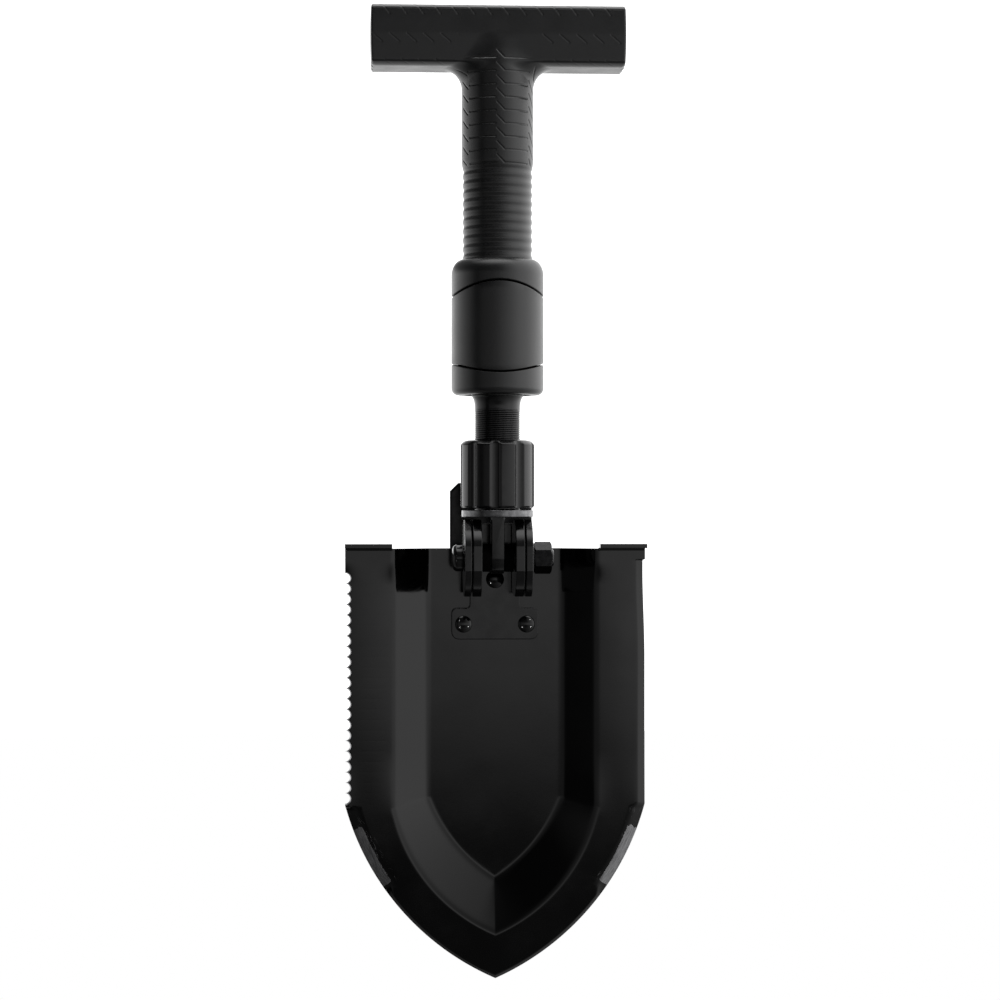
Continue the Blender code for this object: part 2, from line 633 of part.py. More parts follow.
def build_outer_tube(parent, tube_material, plastic):
    low, high = OUTER_TUBE_Z
    step_z = BUSH_Z[1] + GAP
    profile = [(BUSH_SEAT_RADIUS, low), (OUTER_TUBE_RADIUS, low), (OUTER_TUBE_RADIUS, high)]
    profile += [(OUTER_TUBE_BORE, high), (OUTER_TUBE_BORE, step_z), (BUSH_SEAT_RADIUS, step_z)]
    object_from_bmesh("outer_tube", turned(profile, ROUND_SEGMENTS), tube_material, parent)

    bush = tube_profile(INNER_TUBE_RADIUS + BUSH_CLEARANCE, BUSH_SEAT_RADIUS - BUSH_CLEARANCE, BUSH_Z)
    object_from_bmesh("guide_bush", turned(bush, ROUND_SEGMENTS), plastic, parent)

    low = OUTER_TUBE_Z[1] - 3.0 * MM
    plug_radius = OUTER_TUBE_BORE - GAP
    rim_z = OUTER_TUBE_Z[1] + GAP
    plug = [(0.0, low), (plug_radius, low), (plug_radius, rim_z), (OUTER_TUBE_RADIUS, rim_z)]
    plug += [(OUTER_TUBE_RADIUS, TUBE_PLUG_TOP_Z), (0.0, TUBE_PLUG_TOP_Z)]
    object_from_bmesh("tube_plug", turned(plug, ROUND_SEGMENTS), plastic, parent)


# Handle mouldings

def top_seam(angle):
    return TOP_SEAM_Z - TOP_SEAM_WAVE * math.cos(2.0 * angle)


def bottom_seam(angle):
    return BOTTOM_SEAM_Z + BOTTOM_SEAM_WAVE * math.cos(2.0 * angle)


def grip_profile(angle):
    """Shoulder, ribbed stretch and grip, solid to the axis; the seam's height depends on the angle."""
    seam = top_seam(angle) + SEAM_GAP / 2.0
    neck_z = BAR_Z[0] + 2.0 * MM
    profile = [(0.0, TOP_SEAM_Z), (OUTER_TUBE_BORE, seam), (COLLAR_RADIUS, seam), (COLLAR_RADIUS, SHOULDER_Z)]
    for step in range(1, 4):
        turn = math.radians(90.0 * step / 4)
        radius = RIB_RADIUS + (COLLAR_RADIUS - RIB_RADIUS) * math.cos(turn)
        profile.append((radius, SHOULDER_Z + (SHOULDER_TOP_Z - SHOULDER_Z) * math.sin(turn)))
    profile += [(RIB_RADIUS, SHOULDER_TOP_Z), (RIB_RADIUS, RIB_TOP_Z), (GRIP_RADIUS, RIB_TOP_Z + 1.0 * MM)]
    profile += [(GRIP_RADIUS, neck_z), (0.0, neck_z)]
    return profile


def build_t_grip(parent, material):
    """Bar, grip and shoulder, bored for the outer tube and its plug."""
    mesh = turned_by(grip_profile, ROUND_SEGMENTS)
    bmesh.ops.triangulate(mesh, faces=mesh.faces)
    grip = object_from_bmesh("t_grip", mesh, material, parent)
    add_boolean(grip, object_from_bmesh("t_bar", t_bar(), None), "UNION")
    add_boolean(grip, object_from_bmesh("bar_fillet", bar_fillet(), None), "UNION")
    bore = OUTER_TUBE_RADIUS + GAP
    low = RING_BOTTOM_Z
    high = TUBE_PLUG_TOP_Z + GAP
    hollow = turned(tube_profile(0.0, bore, (low, high)), ROUND_SEGMENTS)
    add_boolean(grip, object_from_bmesh("bar_hollow", hollow, None), "DIFFERENCE")


def t_bar():
    """Eight-sided bar along X with chamfered long edges."""
    low, high = BAR_Z
    y = BAR_HALF_DEPTH
    top = BAR_TOP_CHAMFER
    bottom = BAR_BOTTOM_CHAMFER
    outline = [(-y + bottom, low), (y - bottom, low), (y, low + bottom), (y, high - top)]
    outline += [(y - top, high), (-y + top, high), (-y, high - top), (-y, low + bottom)]
    return prism(outline, "X", -BAR_HALF_LENGTH, BAR_HALF_LENGTH)


def bar_fillet():
    """Web under the bar that widens to it in an arc on each side of the grip."""
    z_low = BAR_Z[0]
    root = GRIP_RADIUS - FILLET_INSET
    arc = arc_points((root + FILLET_RADIUS, z_low - FILLET_RADIUS), FILLET_RADIUS, 180.0, 90.0, 5)
    right = arc + [(root + FILLET_RADIUS, z_low + FILLET_INSET)]
    outline = right + [(-x, z) for x, z in reversed(right)]
    half_depth = BAR_HALF_DEPTH - BAR_BOTTOM_CHAMFER - GAP
    return prism(outline, "Y", -half_depth, half_depth)


def band_profile(angle):
    bore = OUTER_TUBE_RADIUS + GAP
    low = bottom_seam(angle) + SEAM_GAP / 2.0
    high = top_seam(angle) - SEAM_GAP / 2.0
    return [(bore, low), (COLLAR_RADIUS, low), (COLLAR_RADIUS, high), (bore, high)]


def lower_ring_profile(angle):
    """Ring with a rounded lower edge and a recess for the wiper ring, under the outer tube's mouth."""
    bore = OUTER_TUBE_RADIUS + GAP
    seam = bottom_seam(angle) - SEAM_GAP / 2.0
    shelf_z = OUTER_TUBE_Z[0] - GAP
    profile = [(bore, seam), (bore, shelf_z), (WIPER_RADIUS, shelf_z), (WIPER_RADIUS, RING_BOTTOM_Z)]
    edge_axis = COLLAR_RADIUS - RING_EDGE_RADIUS
    profile.append((edge_axis, RING_BOTTOM_Z))
    for step in (1, 2, 3):
        turn = math.radians(30.0 * step)
        rise = RING_EDGE_RADIUS * (1.0 - math.cos(turn))
        profile.append((edge_axis + RING_EDGE_RADIUS * math.sin(turn), RING_BOTTOM_Z + rise))
    profile.append((COLLAR_RADIUS, seam))
    return profile


def build_collar(parent, grip_material, soft_material):
    for name, profile_at in (("collar_band", band_profile), ("lower_ring", lower_ring_profile)):
        mesh = turned_by(profile_at, ROUND_SEGMENTS)
        bmesh.ops.triangulate(mesh, faces=mesh.faces)
        object_from_bmesh(name, mesh, grip_material, parent)
    wiper = tube_profile(INNER_TUBE_RADIUS + WIPER_CLEARANCE, WIPER_RADIUS - GAP, WIPER_Z)
    object_from_bmesh("wiper_ring", turned(wiper, ROUND_SEGMENTS), soft_material, parent)


def build():
    clear_scene()
    black_steel = make_material("black_steel", STEM_COLOUR, 0.35, 0.8)
    blade_paint = make_material("blade_paint", BLADE_COLOUR, 0.08, 0.3)
    moulding = make_material("moulding", GRIP_COLOUR, 0.45, 0.0)
    bare_steel = make_material("bare_steel", STEEL_COLOUR, 0.25, 1.0)
    tube_metal = make_material("tube_metal", TUBE_COLOUR, 0.3, 1.0)
    bush_plastic = make_material("bush_plastic", BUSH_COLOUR, 0.5, 0.0)

    datum = make_empty(DATUM, (0.0, 0.0, -BAR_Z[1]), None)
    blade_pivot = make_empty("blade_pivot", (0.0, 0.0, 0.0), datum)
    nut_axis = make_empty("nut_axis", (0.0, 0.0, NUT_Z[0]), datum)
    washer_axis = make_empty("washer_axis", (0.0, 0.0, WASHER_Z[0]), datum)
    twist_axis = make_empty("twist_axis", (0.0, 0.0, EXPANDER_SLEEVE_Z[0]), datum)
    handle_axis = make_empty("handle_axis", (0.0, 0.0, RING_BOTTOM_Z), datum)

    holes = rivet_holes(RIVET_SHANK_RADIUS + GAP)
    build_blade(blade_pivot, blade_paint, holes)
    build_front_bracket(blade_pivot, black_steel, holes)
    build_rear_saddle(blade_pivot, black_steel, holes)
    side_head = RIVET_HEAD_RADIUS
    build_rivet("rivet_left", -SIDE_RIVET_X, SIDE_RIVET_Z, side_head, blade_pivot, black_steel)
    build_rivet("rivet_right", SIDE_RIVET_X, SIDE_RIVET_Z, side_head, blade_pivot, black_steel)
    build_rivet("rivet_centre", 0.0, CENTRE_RIVET_Z, CENTRE_RIVET_HEAD_RADIUS, blade_pivot, black_steel)
    build_hinge_bolt(blade_pivot, black_steel, bare_steel)

    pin_hole = build_threaded_stem(black_steel)
    build_inner_tube(pin_hole, tube_metal, bare_steel)
    build_lock_nut(nut_axis, black_steel)
    build_thrust_washer(washer_axis, bare_steel)
    build_expander(twist_axis, bare_steel, bush_plastic)
    build_outer_tube(handle_axis, tube_metal, bush_plastic)
    build_t_grip(handle_axis, moulding)
    build_collar(handle_axis, moulding, moulding)


build()
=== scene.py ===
"""Folding shovel: fine meshes, materials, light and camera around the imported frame.

Shapes are worked out in millimetres, with heights measured from the hinge bolt's axis. Overall
sizes come from the boxes of the CAD nodes. make_piece() moves a finished shape into the frame.
"""

import json
from math import acos, asin, atan2, cos, degrees, pi, radians, sin, sqrt, tan, tau

import bmesh
import bpy
import numpy as np
from mathutils import Matrix, Vector

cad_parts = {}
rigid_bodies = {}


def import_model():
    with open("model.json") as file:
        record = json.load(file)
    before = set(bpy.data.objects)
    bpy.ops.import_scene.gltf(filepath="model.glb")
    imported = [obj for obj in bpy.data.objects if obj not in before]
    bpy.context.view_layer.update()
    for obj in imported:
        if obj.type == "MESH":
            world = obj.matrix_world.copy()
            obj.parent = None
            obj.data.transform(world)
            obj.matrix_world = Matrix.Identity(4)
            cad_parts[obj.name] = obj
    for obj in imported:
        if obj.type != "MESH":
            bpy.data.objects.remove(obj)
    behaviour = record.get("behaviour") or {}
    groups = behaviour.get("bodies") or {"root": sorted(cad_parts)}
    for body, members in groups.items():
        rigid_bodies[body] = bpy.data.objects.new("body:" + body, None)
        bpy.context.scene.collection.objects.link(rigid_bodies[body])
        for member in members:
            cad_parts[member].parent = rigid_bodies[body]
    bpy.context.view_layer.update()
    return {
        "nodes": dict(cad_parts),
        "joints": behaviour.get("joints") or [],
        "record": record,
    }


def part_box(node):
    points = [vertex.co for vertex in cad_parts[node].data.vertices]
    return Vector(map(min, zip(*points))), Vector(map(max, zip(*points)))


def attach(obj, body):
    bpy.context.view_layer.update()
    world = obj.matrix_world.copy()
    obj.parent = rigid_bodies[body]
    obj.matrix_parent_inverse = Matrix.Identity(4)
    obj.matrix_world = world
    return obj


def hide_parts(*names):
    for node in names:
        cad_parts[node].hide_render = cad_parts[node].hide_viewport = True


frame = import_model()

HINGE = Vector(next(j["pos_m"] for j in frame["joints"] if j["name"] == "blade_fold"))
SLOT_OF = {part["node"]: part["material_slot"] for part in frame["record"]["subparts"]}
BODY_OF = {node: body for body, nodes in frame["record"]["behaviour"]["bodies"].items() for node in nodes}

# Faces that meet at more than this are shaded with a hard edge between them
SHARP = radians(22)
FLAT_SHARP = radians(8)
GRIP_SHARP = radians(50)


def span(node):
    """Lowest and highest corner of a CAD node, in millimetres from the hinge axis."""
    low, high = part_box(node)
    return (low - HINGE) * 1000, (high - HINGE) * 1000


def half_of(node):
    """Half of a CAD node's size."""
    low, high = span(node)
    return (high - low) / 2


def middle_of(node):
    """Centre of a CAD node."""
    low, high = span(node)
    return (low + high) / 2


# Arrays of points and faces

def grid_faces(rows, columns, closed=False):
    """Quads of a grid whose points are numbered row by row."""
    faces = []
    for i in range(rows if closed else rows - 1):
        for k in range(columns if closed else columns - 1):
            here = i * columns
            there = ((i + 1) % rows) * columns
            n = (k + 1) % columns
            faces.append((here + k, here + n, there + n, there + k))
    return faces


def vertex_normals(points, quads):
    """Area-weighted normals of the points of a quad mesh."""
    across = points[quads[:, 2]] - points[quads[:, 0]]
    along = points[quads[:, 3]] - points[quads[:, 1]]
    normals = np.zeros_like(points)
    for corner in range(4):
        np.add.at(normals, quads[:, corner], np.cross(across, along))
    length = np.linalg.norm(normals, axis=1, keepdims=True)
    return normals / np.maximum(length, 1e-12)


def boundary(quads):
    """Directed edges that belong to one face only."""
    edges = np.concatenate([quads[:, [k, (k + 1) % 4]] for k in range(4)])
    seen = dict.fromkeys((a, b) for a, b in edges if a != b)
    return [(a, b) for a, b in seen if (b, a) not in seen]


def soften(loop, radius, steps=4):
    """Rounds the corners of a closed 2D loop. radius is one number or one for each corner."""
    count = len(loop)
    radii = radius if isinstance(radius, list) else [radius] * count
    points = []
    for i, r in enumerate(radii):
        corner = Vector(loop[i])
        before = Vector(loop[i - 1]) - corner
        after = Vector(loop[(i + 1) % count]) - corner
        if r <= 0 or before.length < 1e-6 or after.length < 1e-6:
            points.append(tuple(corner))
            continue
        reach = r / tan(before.angle(after) / 2)
        reach = min(reach, 0.49 * before.length, 0.49 * after.length)
        start = corner + before.normalized() * reach
        end = corner + after.normalized() * reach
        for k in range(steps + 1):
            t = k / steps
            points.append(tuple(start * (1 - t) ** 2 + corner * 2 * t * (1 - t) + end * t ** 2))
    return points


def arc(centre, radius, start_deg, end_deg, steps):
    points = []
    for i in range(steps + 1):
        angle = radians(start_deg + (end_deg - start_deg) * i / steps)
        points.append((centre[0] + radius * cos(angle), centre[1] + radius * sin(angle)))
    return points


def smoothstep(x, low, high):
    t = np.clip((x - low) / (high - low), 0, 1)
    return t * t * (3 - 2 * t)


def window(x, start, full, fading, end):
    """1 between full and fading, 0 outside start and end."""
    return smoothstep(x, start, full) * smoothstep(x, end, fading)


def round_min(a, b, r):
    """Union of two distance fields with a fillet."""
    return np.maximum(r, np.minimum(a, b)) - np.hypot(np.maximum(r - a, 0), np.maximum(r - b, 0))


def round_max(a, b, r):
    """Intersection of two distance fields with a rounded edge."""
    return -round_min(-a, -b, r)


# Making pieces

def new_object(name, data):
    obj = bpy.data.objects.new(name, data)
    bpy.context.scene.collection.objects.link(obj)
    return obj


def make_piece(name, data, node, material=None, sharp=SHARP):
    """Moves a mesh in millimetres into the frame and lets it stand for a CAD node."""
    data.transform(Matrix.Translation(HINGE) @ Matrix.Scale(0.001, 4))
    data.materials.clear()
    data.materials.append(material or SLOT_MATERIALS[SLOT_OF[node]])
    data.shade_smooth()
    data.set_sharp_from_angle(angle=sharp)
    obj = new_object(name, data)
    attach(obj, BODY_OF[node])
    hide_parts(node)


def mesh_from(points, faces, merge=0.0005):
    """Mesh with coinciding points merged, unless merge is 0, and faces pointing out."""
    data = bpy.data.meshes.new("shape")
    data.from_pydata([tuple(p) for p in points], [], faces)
    mesh = bmesh.new()
    mesh.from_mesh(data)
    if merge:
        bmesh.ops.remove_doubles(mesh, verts=mesh.verts, dist=merge)
    bmesh.ops.recalc_face_normals(mesh, faces=mesh.faces)
    mesh.to_mesh(data)
    mesh.free()
    return data


def turned(profile, segments, shape=None, axis="Z", centre=(0, 0, 0)):
    """Solid of revolution of a closed loop of (radius, height).

    shape(angle, radius, height) may vary radius and height around the axis.
    """
    loop = np.array(profile)
    angles = tau * np.arange(segments) / segments
    angle, radius = np.meshgrid(angles, loop[:, 0], indexing="ij")
    height = np.broadcast_to(loop[:, 1], radius.shape)
    if shape is not None:
        radius, height = shape(angle, radius, height)
    parts = [radius * np.cos(angle), radius * np.sin(angle), height]
    order = {"Z": (0, 1, 2), "X": (2, 0, 1), "Y": (1, 2, 0)}[axis]
    points = np.stack([parts[i] for i in order], axis=-1).reshape(-1, 3) + np.array(centre)
    return mesh_from(points, grid_faces(segments, len(loop), True))


def ring(bore, radius, low, high, rounding, steps, segments, axis="Z", height=0):
    """Ring, or pin with no bore, with softened edges. height moves it up."""
    loop = [(bore, low), (radius, low), (radius, high), (bore, high)]
    return turned(soften(loop, rounding, steps), segments, None, axis, (0, 0, height))


def prism(outline, axis, low, high):
    """Straight solid on an outline given in the other two coordinates."""
    place = {"X": lambda u, v, w: (w, u, v), "Y": lambda u, v, w: (u, w, v)}[axis]
    count = len(outline)
    points = [place(u, v, w) for w in (low, high) for u, v in outline]
    faces = [tuple(range(count)), tuple(range(2 * count - 1, count - 1, -1))]
    faces += [(k, k + count, (k + 1) % count + count, (k + 1) % count) for k in range(count)]
    return mesh_from(points, faces)


def modified(data, *modifiers):
    """What modifiers, each given as (type, settings), make of a mesh."""
    obj = new_object("shape", data)
    for kind, settings in modifiers:
        modifier = obj.modifiers.new(kind, kind)
        for key, value in settings.items():
            setattr(modifier, key, value)
    graph = bpy.context.evaluated_depsgraph_get()
    data = bpy.data.meshes.new_from_object(obj.evaluated_get(graph))
    bpy.data.objects.remove(obj)
    return data


def combine(data, tools, operation, *further):
    """Boolean of a mesh with others, one after the other. Further modifiers may follow."""
    for tool in tools:
        cutter = new_object("tool", tool)
        boolean = ("BOOLEAN", {"object": cutter, "operation": operation})
        data = modified(data, boolean, *further)
        bpy.data.objects.remove(cutter)
    return data


def bevelled(data, width, segments=3):
    """Rounds every edge that turns by more than 40 degrees."""
    mesh = bmesh.new()
    mesh.from_mesh(data)
    bmesh.ops.dissolve_limit(mesh, angle_limit=radians(0.5), verts=mesh.verts, edges=mesh.edges)
    mesh.to_mesh(data)
    mesh.free()
    return modified(data, ("BEVEL", {
        "width": width, "segments": segments, "limit_method": "ANGLE",
        "angle_limit": radians(40), "use_clamp_overlap": False, "miter_outer": "MITER_ARC",
    }))


def drilled(data, radius, height=0, segments=64):
    """Cuts a hole along X through everything at that height."""
    reach = 20
    return combine(data, [ring(0, radius, -reach, reach, 0, 1, segments, "X", height)], "DIFFERENCE")


# Materials

class Nodes:
    """Adds nodes to a node tree."""

    def __init__(self, tree):
        self.tree = tree

    def feed(self, socket, value):
        if isinstance(value, bpy.types.NodeSocket):
            self.tree.links.new(value, socket)
        else:
            socket.default_value = value

    def set(self, node, **inputs):
        for key, value in inputs.items():
            self.feed(node.inputs[key.replace("_", " ")], value)
        return node

    def add(self, kind, settings=None, **inputs):
        node = self.tree.nodes.new(kind)
        for key, value in (settings or {}).items():
            setattr(node, key, value)
        return self.set(node, **inputs)

    def maths(self, operation, a, b=0, clamp=False):
        node = self.add("ShaderNodeMath", {"operation": operation, "use_clamp": clamp})
        self.feed(node.inputs[0], a)
        self.feed(node.inputs[1], b)
        return node.outputs[0]

    def times(self, a, b, clamp=False):
        return self.maths("MULTIPLY", a, b, clamp)

    def parts(self, vector):
        """X, Y and Z of a vector."""
        return self.add("ShaderNodeSeparateXYZ", Vector=vector).outputs


class Shader(Nodes):
    """Builds one procedural material on a Principled BSDF."""

    def __init__(self, name, metallic=0):
        self.material = bpy.data.materials.new(name)
        self.material.use_nodes = True
        super().__init__(self.material.node_tree)
        self.place = self.add("ShaderNodeTexCoord").outputs["Object"]
        self.normal = None
        self.surface(Metallic=metallic)

    def surface(self, **inputs):
        """Sets inputs of the Principled BSDF."""
        self.set(self.tree.nodes["Principled BSDF"], **inputs)

    def noise(self, size_mm, detail=3, rough=0.55, stretch=None, vector=None):
        """Noise with features of about size_mm, longer where stretch is below 1."""
        vector = self.place if vector is None else vector
        if stretch is not None:
            vector = self.add("ShaderNodeMapping", Vector=vector, Scale=stretch).outputs["Vector"]
        return self.add("ShaderNodeTexNoise", Scale=1000 / size_mm, Detail=detail,
                        Roughness=rough, Vector=vector).outputs["Fac"]

    def fit(self, value, low, high, new_low=0, new_high=1):
        """Linear map from one range to another, clamped."""
        node = self.add("ShaderNodeMapRange", {"clamp": True})
        for index, number in enumerate((value, low, high, new_low, new_high)):
            self.feed(node.inputs[index], number)
        return node.outputs[0]

    def spread(self, noise, new_low=0, new_high=1):
        """Noise, whose values mostly lie between 0.3 and 0.7, spread over another range."""
        return self.fit(noise, 0.3, 0.7, new_low, new_high)

    def mix(self, factor, a, b, kind="RGBA"):
        """Mix of two colours, or of two numbers when kind is FLOAT."""
        a, b = [(*value, 1) if isinstance(value, tuple) else value for value in (a, b)]
        return self.add("ShaderNodeMix", {"data_type": kind}, Factor=factor, A=a, B=b).outputs["Result"]

    def clouded(self, noise, dark, light, dull, shiny, tone=(0.3, 0.7), polish=(0.3, 0.7)):
        """Colour and roughness that both follow a noise, over the given ranges of it."""
        self.surface(Base_Color=self.mix(self.fit(noise, *tone), dark, light),
                     Roughness=self.fit(noise, *polish, dull, shiny))

    def attribute(self, name):
        return self.add("ShaderNodeAttribute", {"attribute_name": name}).outputs["Fac"]

    def bump(self, height, depth_mm, strength):
        """Adds relief of the given depth on top of what is there."""
        node = self.add("ShaderNodeBump", Strength=strength, Distance=depth_mm * 0.001, Height=height)
        if self.normal is not None:
            self.set(node, Normal=self.normal)
        self.normal = node.outputs["Normal"]
        self.surface(Normal=self.normal)

    def rounded(self, radius_mm, samples):
        """Normals as if edges were rounded."""
        node = self.add("ShaderNodeBevel", {"samples": samples}, Radius=radius_mm * 0.001)
        return node.outputs["Normal"]

    def rounded_edges(self, radius_mm):
        self.normal = self.rounded(radius_mm, 6)
        self.surface(Normal=self.normal)

    def edge_factor(self, radius_mm):
        """1 on convex edges, 0 on faces."""
        dot = self.add("ShaderNodeVectorMath", {"operation": "DOT_PRODUCT"})
        self.feed(dot.inputs[0], self.rounded(radius_mm, 4))
        self.feed(dot.inputs[1], self.add("ShaderNodeNewGeometry").outputs["Normal"])
        return self.fit(dot.outputs["Value"], 0.98, 0.8)


COAT = (0.0008, 0.0008, 0.0009)
POINT_BEVEL = 4.8


def moulding_material():
    """Black glass-filled plastic with a fine eroded grain and slight changes in shine."""
    mat = Shader("moulding")
    mat.clouded(mat.noise(9), (0.006, 0.0062, 0.0067), (0.008, 0.0083, 0.009), 0.28, 0.34)
    mat.surface(Specular_IOR_Level=0.8)
    mat.bump(mat.noise(0.28, 2), 0.03, 0.5)
    mat.bump(mat.noise(3.5, 2), 0.02, 0.4)
    return mat.material


def black_steel_material(name, rounding, dull_behind=None):
    """Steel under a thin black coat, with slightly worn edges. Behind a depth, in metres, it is dull."""
    mat = Shader(name)
    mat.rounded_edges(rounding)
    wear = mat.times(mat.edge_factor(0.35), mat.fit(mat.noise(1.2, 4), 0.5, 0.62))
    mat.surface(
        Base_Color=mat.mix(wear, (0.004, 0.004, 0.0044), (0.06, 0.06, 0.064)),
        Metallic=mat.fit(wear, 0, 1, 0, 0.7),
        Roughness=mat.spread(mat.noise(4, 4), 0.17, 0.25))
    mat.bump(mat.noise(2.4, 2), 0.01, 0.4)
    if dull_behind is not None:
        depth = mat.parts(mat.place)["Y"]
        mat.surface(Specular_IOR_Level=mat.fit(depth, dull_behind, dull_behind + 0.0008, 0.5, 0.12))
    return mat.material


def gloss_steel_material():
    """Steel under the same gloss black coat as the blade."""
    mat = Shader("gloss_steel")
    mat.rounded_edges(0.3)
    mat.clouded(mat.noise(6), COAT, (0.0026, 0.0026, 0.0028), 0.1, 0.17, (0, 1))
    mat.bump(mat.noise(1.6, 2), 0.006, 0.35)
    return mat.material


def blade_material():
    """Gloss black coat; bright scratched steel where the edges are ground bare."""
    mat = Shader("blade_coat")
    mat.rounded_edges(0.4)
    bare_part = mat.attribute("bare")
    x, _, z = mat.parts(mat.place)
    along = mat.add("ShaderNodeCombineXYZ",
                       X=mat.times(mat.attribute("edge"), POINT_BEVEL * 0.001),
                       Y=mat.times(z, 0.09), Z=mat.times(x, 0.01)).outputs[0]
    streaks = mat.noise(0.35, 4, 0.6, vector=along)
    broad = mat.noise(1.6, 3, 0.6, vector=along)
    ragged = mat.spread(mat.noise(0.8, 5), -0.05, 0.05)
    ground = mat.maths("GREATER_THAN", mat.maths("ADD", bare_part, ragged), 0)
    near = mat.times(mat.fit(bare_part, -0.75, -0.1), mat.fit(broad, 0.5, 0.6))
    scuffs = mat.times(near, mat.maths("GREATER_THAN", streaks, 0.6))
    bare = mat.maths("MAXIMUM", ground, mat.times(scuffs, 0.5))
    tone = mat.times(mat.fit(streaks, 0.35, 0.65, 0.45, 1), mat.spread(broad, 0.6, 1))
    steel = mat.mix(tone, (0.08, 0.08, 0.085), (0.5, 0.5, 0.51))
    smear = mat.fit(mat.noise(22, 4), 0.35, 0.7, 0.06, 0.13)
    scuffed = mat.spread(streaks, 0.25, 0.45)
    mat.surface(
        Base_Color=mat.mix(bare, COAT, steel),
        Metallic=bare,
        Roughness=mat.mix(bare, smear, scuffed, "FLOAT"))
    mat.bump(mat.noise(28, 1), 0.1, 0.35)
    mat.bump(mat.noise(1.6, 2), 0.006, 0.35)
    mat.bump(mat.times(streaks, bare), 0.02, 0.6)
    return mat.material


def bare_steel_material(name, lightness):
    """Turned, uncoated steel with fine rings and a few dark marks."""
    mat = Shader(name, 1)
    mat.rounded_edges(0.2)
    dark, light = [tuple(level * lightness for level in levels)
                   for levels in ((0.15, 0.15, 0.155), (0.21, 0.21, 0.215))]
    mat.clouded(mat.noise(2.2, 4), dark, light, 0.3, 0.2, (0.42, 0.6), (0.35, 0.7))
    mat.bump(mat.noise(0.25, 2, 0.6, (0.15, 0.15, 1)), 0.008, 0.6)
    return mat.material


def tube_material():
    """Drawn aluminium tube: long fine lines and a satin sheen."""
    mat = Shader("tube_metal", 1)
    lines = mat.noise(0.5, 3, 0.6, (1, 1, 0.03))
    mat.surface(
        Base_Color=mat.mix(mat.spread(mat.noise(12)), (0.48, 0.49, 0.51), (0.6, 0.61, 0.63)),
        Roughness=mat.spread(lines, 0.22, 0.38))
    mat.bump(lines, 0.006, 0.5)
    return mat.material


def plastic_material(name, low, high, roughness, shine=0.5):
    """Dull plastic, rubber or coat of two greys, with a slight mottle and grain."""
    mat = Shader(name)
    mat.clouded(mat.noise(3), low, high, roughness - 0.06, roughness + 0.06)
    mat.surface(Specular_IOR_Level=shine)
    mat.bump(mat.noise(0.3, 2), 0.01, 0.5)
    return mat.material


# Just in front of the saddle's plate
SADDLE_FRONT = (span("rear_saddle")[1].y - 3.6) * 0.001

STEM_STEEL = black_steel_material("stem_steel", 0.04)
SADDLE_STEEL = black_steel_material("saddle_steel", 0.25, SADDLE_FRONT)
GLOSS_STEEL = gloss_steel_material()
# Painted shade: a near-black, dull copy of the black steel for the spacers, so the gaps between the ears
# and the stem's tongue read as deep shadow
SPACER_SHADE_STEEL = plastic_material("dull_steel", (0.001,) * 3, (0.0015,) * 3, 0.6, 0.06)
NUT_STEEL = bare_steel_material("nut_steel", 0.1)

SLOT_MATERIALS = {
    "blade_coat": blade_material(),
    "black_steel": black_steel_material("black_steel", 0.25),
    "bare_steel": bare_steel_material("bare_steel", 1),
    "tube_metal": tube_material(),
    "moulding": moulding_material(),
    "bush_plastic": plastic_material("bush_plastic", (0.62, 0.62, 0.58), (0.72, 0.72, 0.68), 0.45),
    "soft_seal": plastic_material("soft_seal", (0.01,) * 3, (0.018,) * 3, 0.6),
}


def dress_cad_nodes():
    """Gives every CAD node the material of its slot; the spacers between the ears get a near-black, dull
    copy of the black steel, which paints in the shade of the gaps beside the stem's tongue.
    """
    for name, slot in SLOT_OF.items():
        materials = frame["nodes"][name].data.materials
        materials.clear()
        materials.append(SPACER_SHADE_STEEL if name.startswith("spacer") else SLOT_MATERIALS[slot])


# Blade

SHEET = 2
RECESS = 9
TOP_EDGE = 4
BEND_Z = 3.1
BEND_RADIUS = 1.2
SAW_TOP = -7.6
SAW_PITCH = 4.96
SAW_TEETH = 22
SAW_END = SAW_TOP - SAW_TEETH * SAW_PITCH
SAW_DEPTH = 2.3
SAW_BEVEL = 0.6
OUTER_FOLD = {"x": 48.3, "end": -119, "tip": -178, "radius": 83}
INNER_FOLD = {"x": 32, "end": -115, "tip": -154, "radius": 79}
FOLD_ROUNDING = 0.09
POINT_RADIUS = 126
SHOULDER_Z = -117.5
SIDE_BEVEL = 3.6
RIGHT_STEP = 1
RIGHT_STEP_RUN = (-48, -4)
FLANGE_CURVE = 130
CROWN_HALF = 11.5
THIN_EDGE = 0.3

# The bare stretch along the point's edge, measured along a leaning line, with the lengths over
# which it starts and ends, and how much narrower the bevel is beyond it
BARE_STRETCH = (72, 102)
BARE_LEAN = radians(33)
BARE_FADES = (14, 1.8)
BEVEL_LOSS = 3.2

# Places of the grid's columns between centre line, inner fold, outer fold and edge
PANEL_SHARES = [0, 0.25, 0.5, 0.7, 0.82, 0.88, 0.91, 0.94, 0.97]
WALL_SHARES = [0, 0.03, 0.06, 0.1, 0.16, 0.3, 0.5, 0.7, 0.84, 0.9, 0.94, 0.97]
FLANGE_SHARES = [0, 0.03, 0.055, 0.085, 0.12, 0.2, 0.35, 0.5, 0.65, 0.76, 0.82, 0.85, 0.87, 0.89, 0.91,
                 0.925, 0.94, 0.955, 0.97, 0.985, 1]
WALL_START = len(PANEL_SHARES)
FLANGE_START = WALL_START + len(WALL_SHARES)
TAB_START = FLANGE_START + 1
TOOTH_ROWS = 12
LOWER_ROWS = 150


